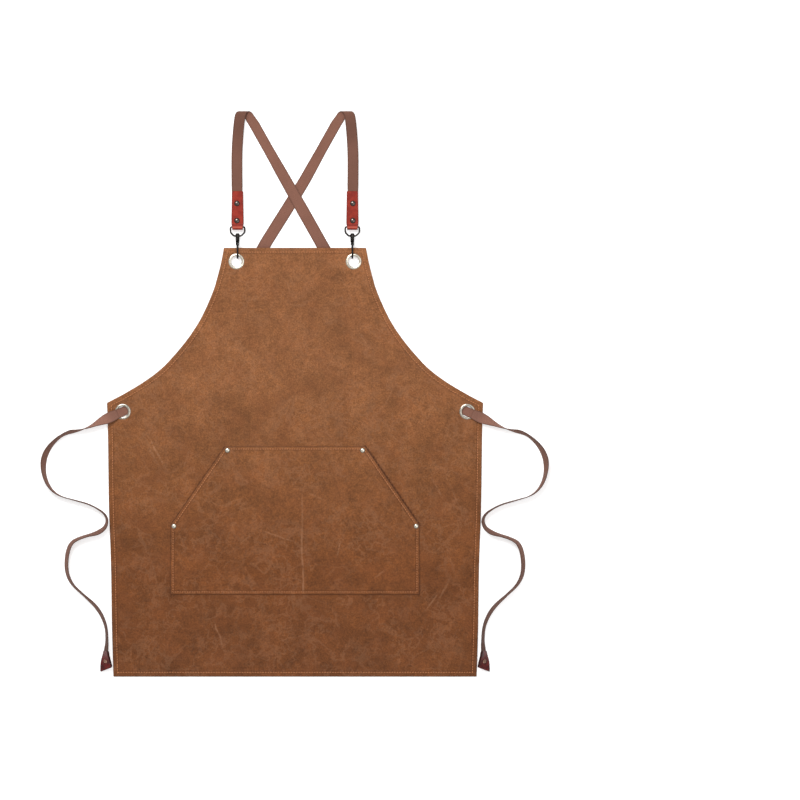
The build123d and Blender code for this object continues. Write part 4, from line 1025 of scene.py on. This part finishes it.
# ------------------------------------------------------------------ shoulder straps
def strap(side):
    """Hooked at this side; runs to the other side's waist eyelet. side -1 is the left one."""
    word = "left" if side < 0 else "right"
    s = side
    o_ = -side                      # the side where it ends
    top = side < 0                  # the left one lies on top at the crossing
    front = [(s * 104.9, 311.0, 8.70), (s * 105.0, 330.0, 8.70), (s * 105.1, 350.0, 8.70), (s * 105.3, 372.0, 8.65),
             (s * 105.6, 400.0, 8.1), (s * 105.6, 430.0, 7.5), (s * 104.7, 455.0, 7.5), (s * 103.3, 475.0, 8.3),
             (s * 101.9, 490.0, 8.7), (s * 100.8, 499.0, 8.5), (s * 99.8, 505.4, 7.8), (s * 98.4, 509.8, 6.7),
             (s * 96.0, 512.8, 5.3), (s * 92.8, 513.9, 3.7), (s * 89.6, 512.9, 2.2), (s * 86.8, 510.0, 1.25),
             (s * 83.4, 505.0, 0.9), (s * 79.7, 499.0, 0.85)]
    line = []
    yk = [490.0, 475.0, 460.0, 430.0, 412.0, 398.0, 385.0, 361.0, 337.0, 324.0, 310.0, 292.0, 268.9, 240.0, 205.0, 165.8, 120.0, 77.1]
    for y in yk:
        x = 77.4 - (498.3 - y) * LEAN + 1.3 * float(smooth(y, 205, 260))     # on its own side while positive
        if not top:
            x -= float(np.interp(y, [205, 268.9, 300, 327, 350, 389, 450], [0, 5.8, 4.3, 2.4, 1.2, -0.6, 0]))
        hump = 1.75 * (smooth(y, 296, 326) * (1 - smooth(y, 396, 426))) if top else 0.0
        line.append((s * x, y, 0.80 + float(hump)))
    tail = [(o_ * 200.0, 31.0, 0.80), (o_ * at_hole(-60, 0)[0], at_hole(-60, 0)[1], 0.80),
            (o_ * at_hole(-38, 0)[0], at_hole(-38, 0)[1], 0.80), (o_ * at_hole(-20, 0)[0], at_hole(-20, 0)[1], 0.80),
            (o_ * at_hole(-8, 0)[0], at_hole(-8, 0)[1], 0.80), (o_ * at_hole(4, 0)[0], at_hole(4, 0)[1], 0.80),
            (o_ * at_hole(10.5, 0)[0], at_hole(10.5, 0)[1], 0.80)]
    pts = np.array(front + line + tail)
    P = catmull(pts, 1.2)
    # resample evenly, every 2 mm
    P, t = resample(P, step=2.0)
    T = np.gradient(P, axis=0)
    T /= np.linalg.norm(T, axis=1)[:, None]
    # width direction: across X on the front and over the fold, square to the run behind
    across = np.array([1.0, 0, 0])
    i_top = int(P[:, 1].argmax())
    frac = smooth(np.arange(len(P)) - i_top, 2, 22)
    flatT = T.copy()
    flatT[:, 2] = 0
    flatT /= np.maximum(np.linalg.norm(flatT, axis=1)[:, None], 1e-6)
    back_w = np.cross(flatT, [0, 0, 1.0])                  # for the run behind, travelling down
    back_w[np.arange(len(P)) <= i_top] = 0
    j = min(i_top + 14, len(P) - 1)
    back_w[i_top - 12:j] = back_w[j]
    ref = across * (-1.0)
    if (back_w[j] @ ref) < 0:
        back_w = -back_w
    W = ref * (1 - frac)[:, None] + back_w * frac[:, None]
    W /= np.linalg.norm(W, axis=1)[:, None]
    away = np.abs(np.arange(len(P)) - i_top)
    square = smooth(away, 8, 26)[:, None]
    W = W - (W * T).sum(1)[:, None] * T * square
    W /= np.linalg.norm(W, axis=1)[:, None]
    for _ in range(3):
        W2 = W.copy()
        W2[2:-2] = (W[:-4] + W[1:-3] + W[2:-2] + W[3:-1] + W[4:]) / 5
        W = W2 / np.linalg.norm(W2, axis=1)[:, None]
    N = np.cross(W, T)
    N /= np.linalg.norm(N, axis=1)[:, None]
    if N[5, 2] < 0:
        N = -N
    dx, dy = P[:, 0] * o_ - WAIST_EYE[0], P[:, 1] - WAIST_EYE[1]
    u = dx * UX + dy * UY
    near = (u > -60) & (P[:, 1] < 60)
    hw = np.full(len(P), 9.95)
    hw[near] = 9.95 - 1.65 * smooth(u[near], -22, -8)
    behind = (np.arange(len(P)) > i_top) & (P[:, 1] > 225)
    hw = hw + behind * np.interp(P[:, 1], [225, 262, 330, 385, 408, 426, 445, 505, 512],
                                 [0, 0.95, 0.95, 0.4, 0.2, -0.3, -0.6, -0.55, 0])
    hw = hw - 0.35 * ((P[:, 1] > 308) & (np.arange(len(P)) < i_top)) * (1 - smooth(P[:, 1], 368, 380))

    def post(V):
        X = V[..., 0] * o_ - WAIST_EYE[0]
        Y = V[..., 1] - WAIST_EYE[1]
        uu = X * UX + Y * UY
        vv = -X * UY + Y * UX
        c = np.sqrt(np.maximum(9.3 ** 2 - np.minimum(np.abs(vv), 8.6) ** 2, 4.0))
        rise = (LEAD_Z + 0.75 - 0.80) * smooth(uu, -c, c)
        sel = (np.abs(vv) < 14) & (uu > -26) & (V[..., 1] < 40)
        V[..., 2] = V[..., 2] + np.where(sel, rise, 0.0)
        V[..., 2] = np.maximum(V[..., 2], 0.03)
        return V
    o = ribbon("strap_webbing_" + word, P, W, N, hw, WEB_T - 0.12, M_WEB, "apron", post=post)
    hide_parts("strap_" + word)
    return o


for side in (-1, 1):
    strap(side)


# ------------------------------------------------------------------ leather tabs
def leather_tab(side):
    word = "left" if side < 0 else "right"
    z = 8.7
    q = [(368.5, z + 1.62), (355, z + 1.58), (340, z + 1.60), (326, z + 1.58), (314, z + 1.60), (309.6, z + 1.62),
         (306.6, z + 2.25), (304.2, z + 2.85), (301.5, z + 2.62), (299.6, z + 1.6), (298.9, z),
         (299.6, z - 1.6), (301.5, z - 2.62), (304.2, z - 2.85), (306.6, z - 2.25), (309.6, z - 1.62),
         (314, z - 1.60), (326, z - 1.58), (340, z - 1.60), (355, z - 1.58), (368.5, z - 1.62)]
    Q = catmull(q, 0.8)
    Q, s = resample(Q, step=1.0)
    P = np.column_stack([np.full(len(Q), side * 104.5), Q])
    T = np.gradient(P, axis=0)
    T /= np.linalg.norm(T, axis=1)[:, None]
    W = np.broadcast_to(np.array([1.0, 0, 0]), P.shape)
    N = np.cross(W, T)
    if N[3, 2] < 0:
        N = -N
    hw = 10.35 + 0.75 * (1 - smooth(Q[:, 0], 312, 365)) - 1.5 * (1 - smooth(Q[:, 0], 301.5, 310.5))
    end = np.minimum(s, s[-1] - s)
    hw = hw - 0.9 * (1 - smooth(end, 0, 2.2)) ** 2
    o = ribbon("leather_strap_tab_" + word, P, W, N, hw, 1.5, M_LEATHER, "apron", ribs=0, roundness=0.3)
    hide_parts("leather_tab_" + word)
    return o


for side in (-1, 1):
    leather_tab(side)


# ------------------------------------------------------------------ hardware
def dress(node, mat):
    o = NODES[node]
    o.data.materials.clear()
    o.data.materials.append(mat)
    for p in o.data.polygons:
        p.material_index = 0


for s_ in ("left", "right"):
    for n_ in ("bib_eyelet_", "bib_washer_"):
        dress(n_ + s_, M_NICKEL)
    for n_ in ("waist_eyelet_", "waist_washer_"):
        dress(n_ + s_, M_NICKEL2)
    dress("tab_rivet_backs_" + s_, M_RIVET)
    dress("tip_rivet_" + s_, M_COPPER)
    dress("swivel_eye_" + s_, M_EYE)
    for n_ in ("hook_body_", "hook_gate_", "gate_pin_"):
        dress(n_ + s_, M_DARK)
    dress("gate_spring_" + s_, M_SPRING)


def domes(name, centres, z0, radius, height, mat, node):
    """Round rivet heads, each a shallow dome on a short straight rim."""
    prof = [(0.0, 1.0), (0.16, 0.985), (0.34, 0.93), (0.52, 0.84), (0.68, 0.70), (0.81, 0.53), (0.91, 0.36),
            (0.97, 0.22), (1.0, 0.10), (1.0, 0.0), (0.6, 0.0)]
    V, F, k = [], [], 40
    for cx, cy in centres:
        base = len(V)
        V.append((cx, cy, z0 + height))
        for r, h in prof[1:]:
            for j in range(k):
                an = 2 * math.pi * j / k
                V.append((cx + radius * r * math.cos(an), cy + radius * r * math.sin(an), z0 + height * h))
        for j in range(k):
            F.append((base, base + 1 + j, base + 1 + (j + 1) % k))
        for q in range(len(prof) - 2):
            for j in range(k):
                j2 = (j + 1) % k
                a = base + 1 + q * k
                F.append((a + j, a + k + j, a + k + j2, a + j2))
        a = base + 1 + (len(prof) - 2) * k
        F.append(tuple(a + j for j in range(k - 1, -1, -1)))
    o = make_object(name, np.array(V) * MM, F, mat, "apron")
    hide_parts(node)
    return o


for s_, sx in (("left", -1), ("right", 1)):
    domes("tab_rivet_heads_" + s_, [(sx * 105.4, 346.1), (sx * 105.4, 314.7)], 11.0, 5.1, 2.1, M_RIVET,
          "tab_rivet_caps_" + s_)
domes("pocket_rivet_heads", POCKET_RIVETS, 4.72, 4.6, 2.1, M_NICKEL, "pocket_rivet_caps")
dress("pocket_rivet_backs", M_NICKEL)


# ------------------------------------------------------------------ floor and light
def floor():
    me = bpy.data.meshes.new("floor")
    n, half = 2, 6.0
    me.from_pydata([(-half, -half, -0.0002), (half, -half, -0.0002), (half, half, -0.0002), (-half, half, -0.0002)],
                   [], [(0, 1, 2, 3)])
    m, nt, b = new_mat("pale_floor")
    b.inputs["Base Color"].default_value = (0.80, 0.80, 0.80, 1)
    b.inputs["Roughness"].default_value = 0.9
    b.inputs["Specular IOR Level"].default_value = 0.0
    b.inputs["Emission Color"].default_value = (1.0, 1.0, 1.0, 1)
    b.inputs["Emission Strength"].default_value = 0.42
    me.materials.append(m)
    o = bpy.data.objects.new("floor", me)
    scene.collection.objects.link(o)


floor()


def area(name, loc, target, size, power):
    d = bpy.data.lights.new(name, "AREA")
    d.shape = "SQUARE"
    d.size = size
    d.energy = power
    o = bpy.data.objects.new(name, d)
    scene.collection.objects.link(o)
    o.location = loc
    o.rotation_euler = (Vector(target) - Vector(loc)).to_track_quat("-Z", "Y").to_euler()
    return o


area("key", (-0.75, 1.75, 2.9), (0.0, 0.0, 0.0), 1.5, 92.0)
area("fill", (1.5, -0.2, 3.4), (0.1, 0.0, 0.0), 2.2, 22.0)

world = bpy.data.worlds.new("studio")
scene.world = world
world.use_nodes = True
wt = world.node_tree
bg = wt.nodes["Background"]
sky = xyz(wt, coords(wt, "Generated"))[2]
wt.links.new(mixc(wt, remap(wt, sky, 0.05, 0.75), (0.20, 0.20, 0.20), (1.0, 1.0, 1.0)), bg.inputs[0])
bg.inputs[1].default_value = 0.80
scene.view_settings.view_transform = "Standard"
scene.view_settings.look = "None"
scene.view_settings.exposure = 0.0
scene.view_settings.gamma = 1.0
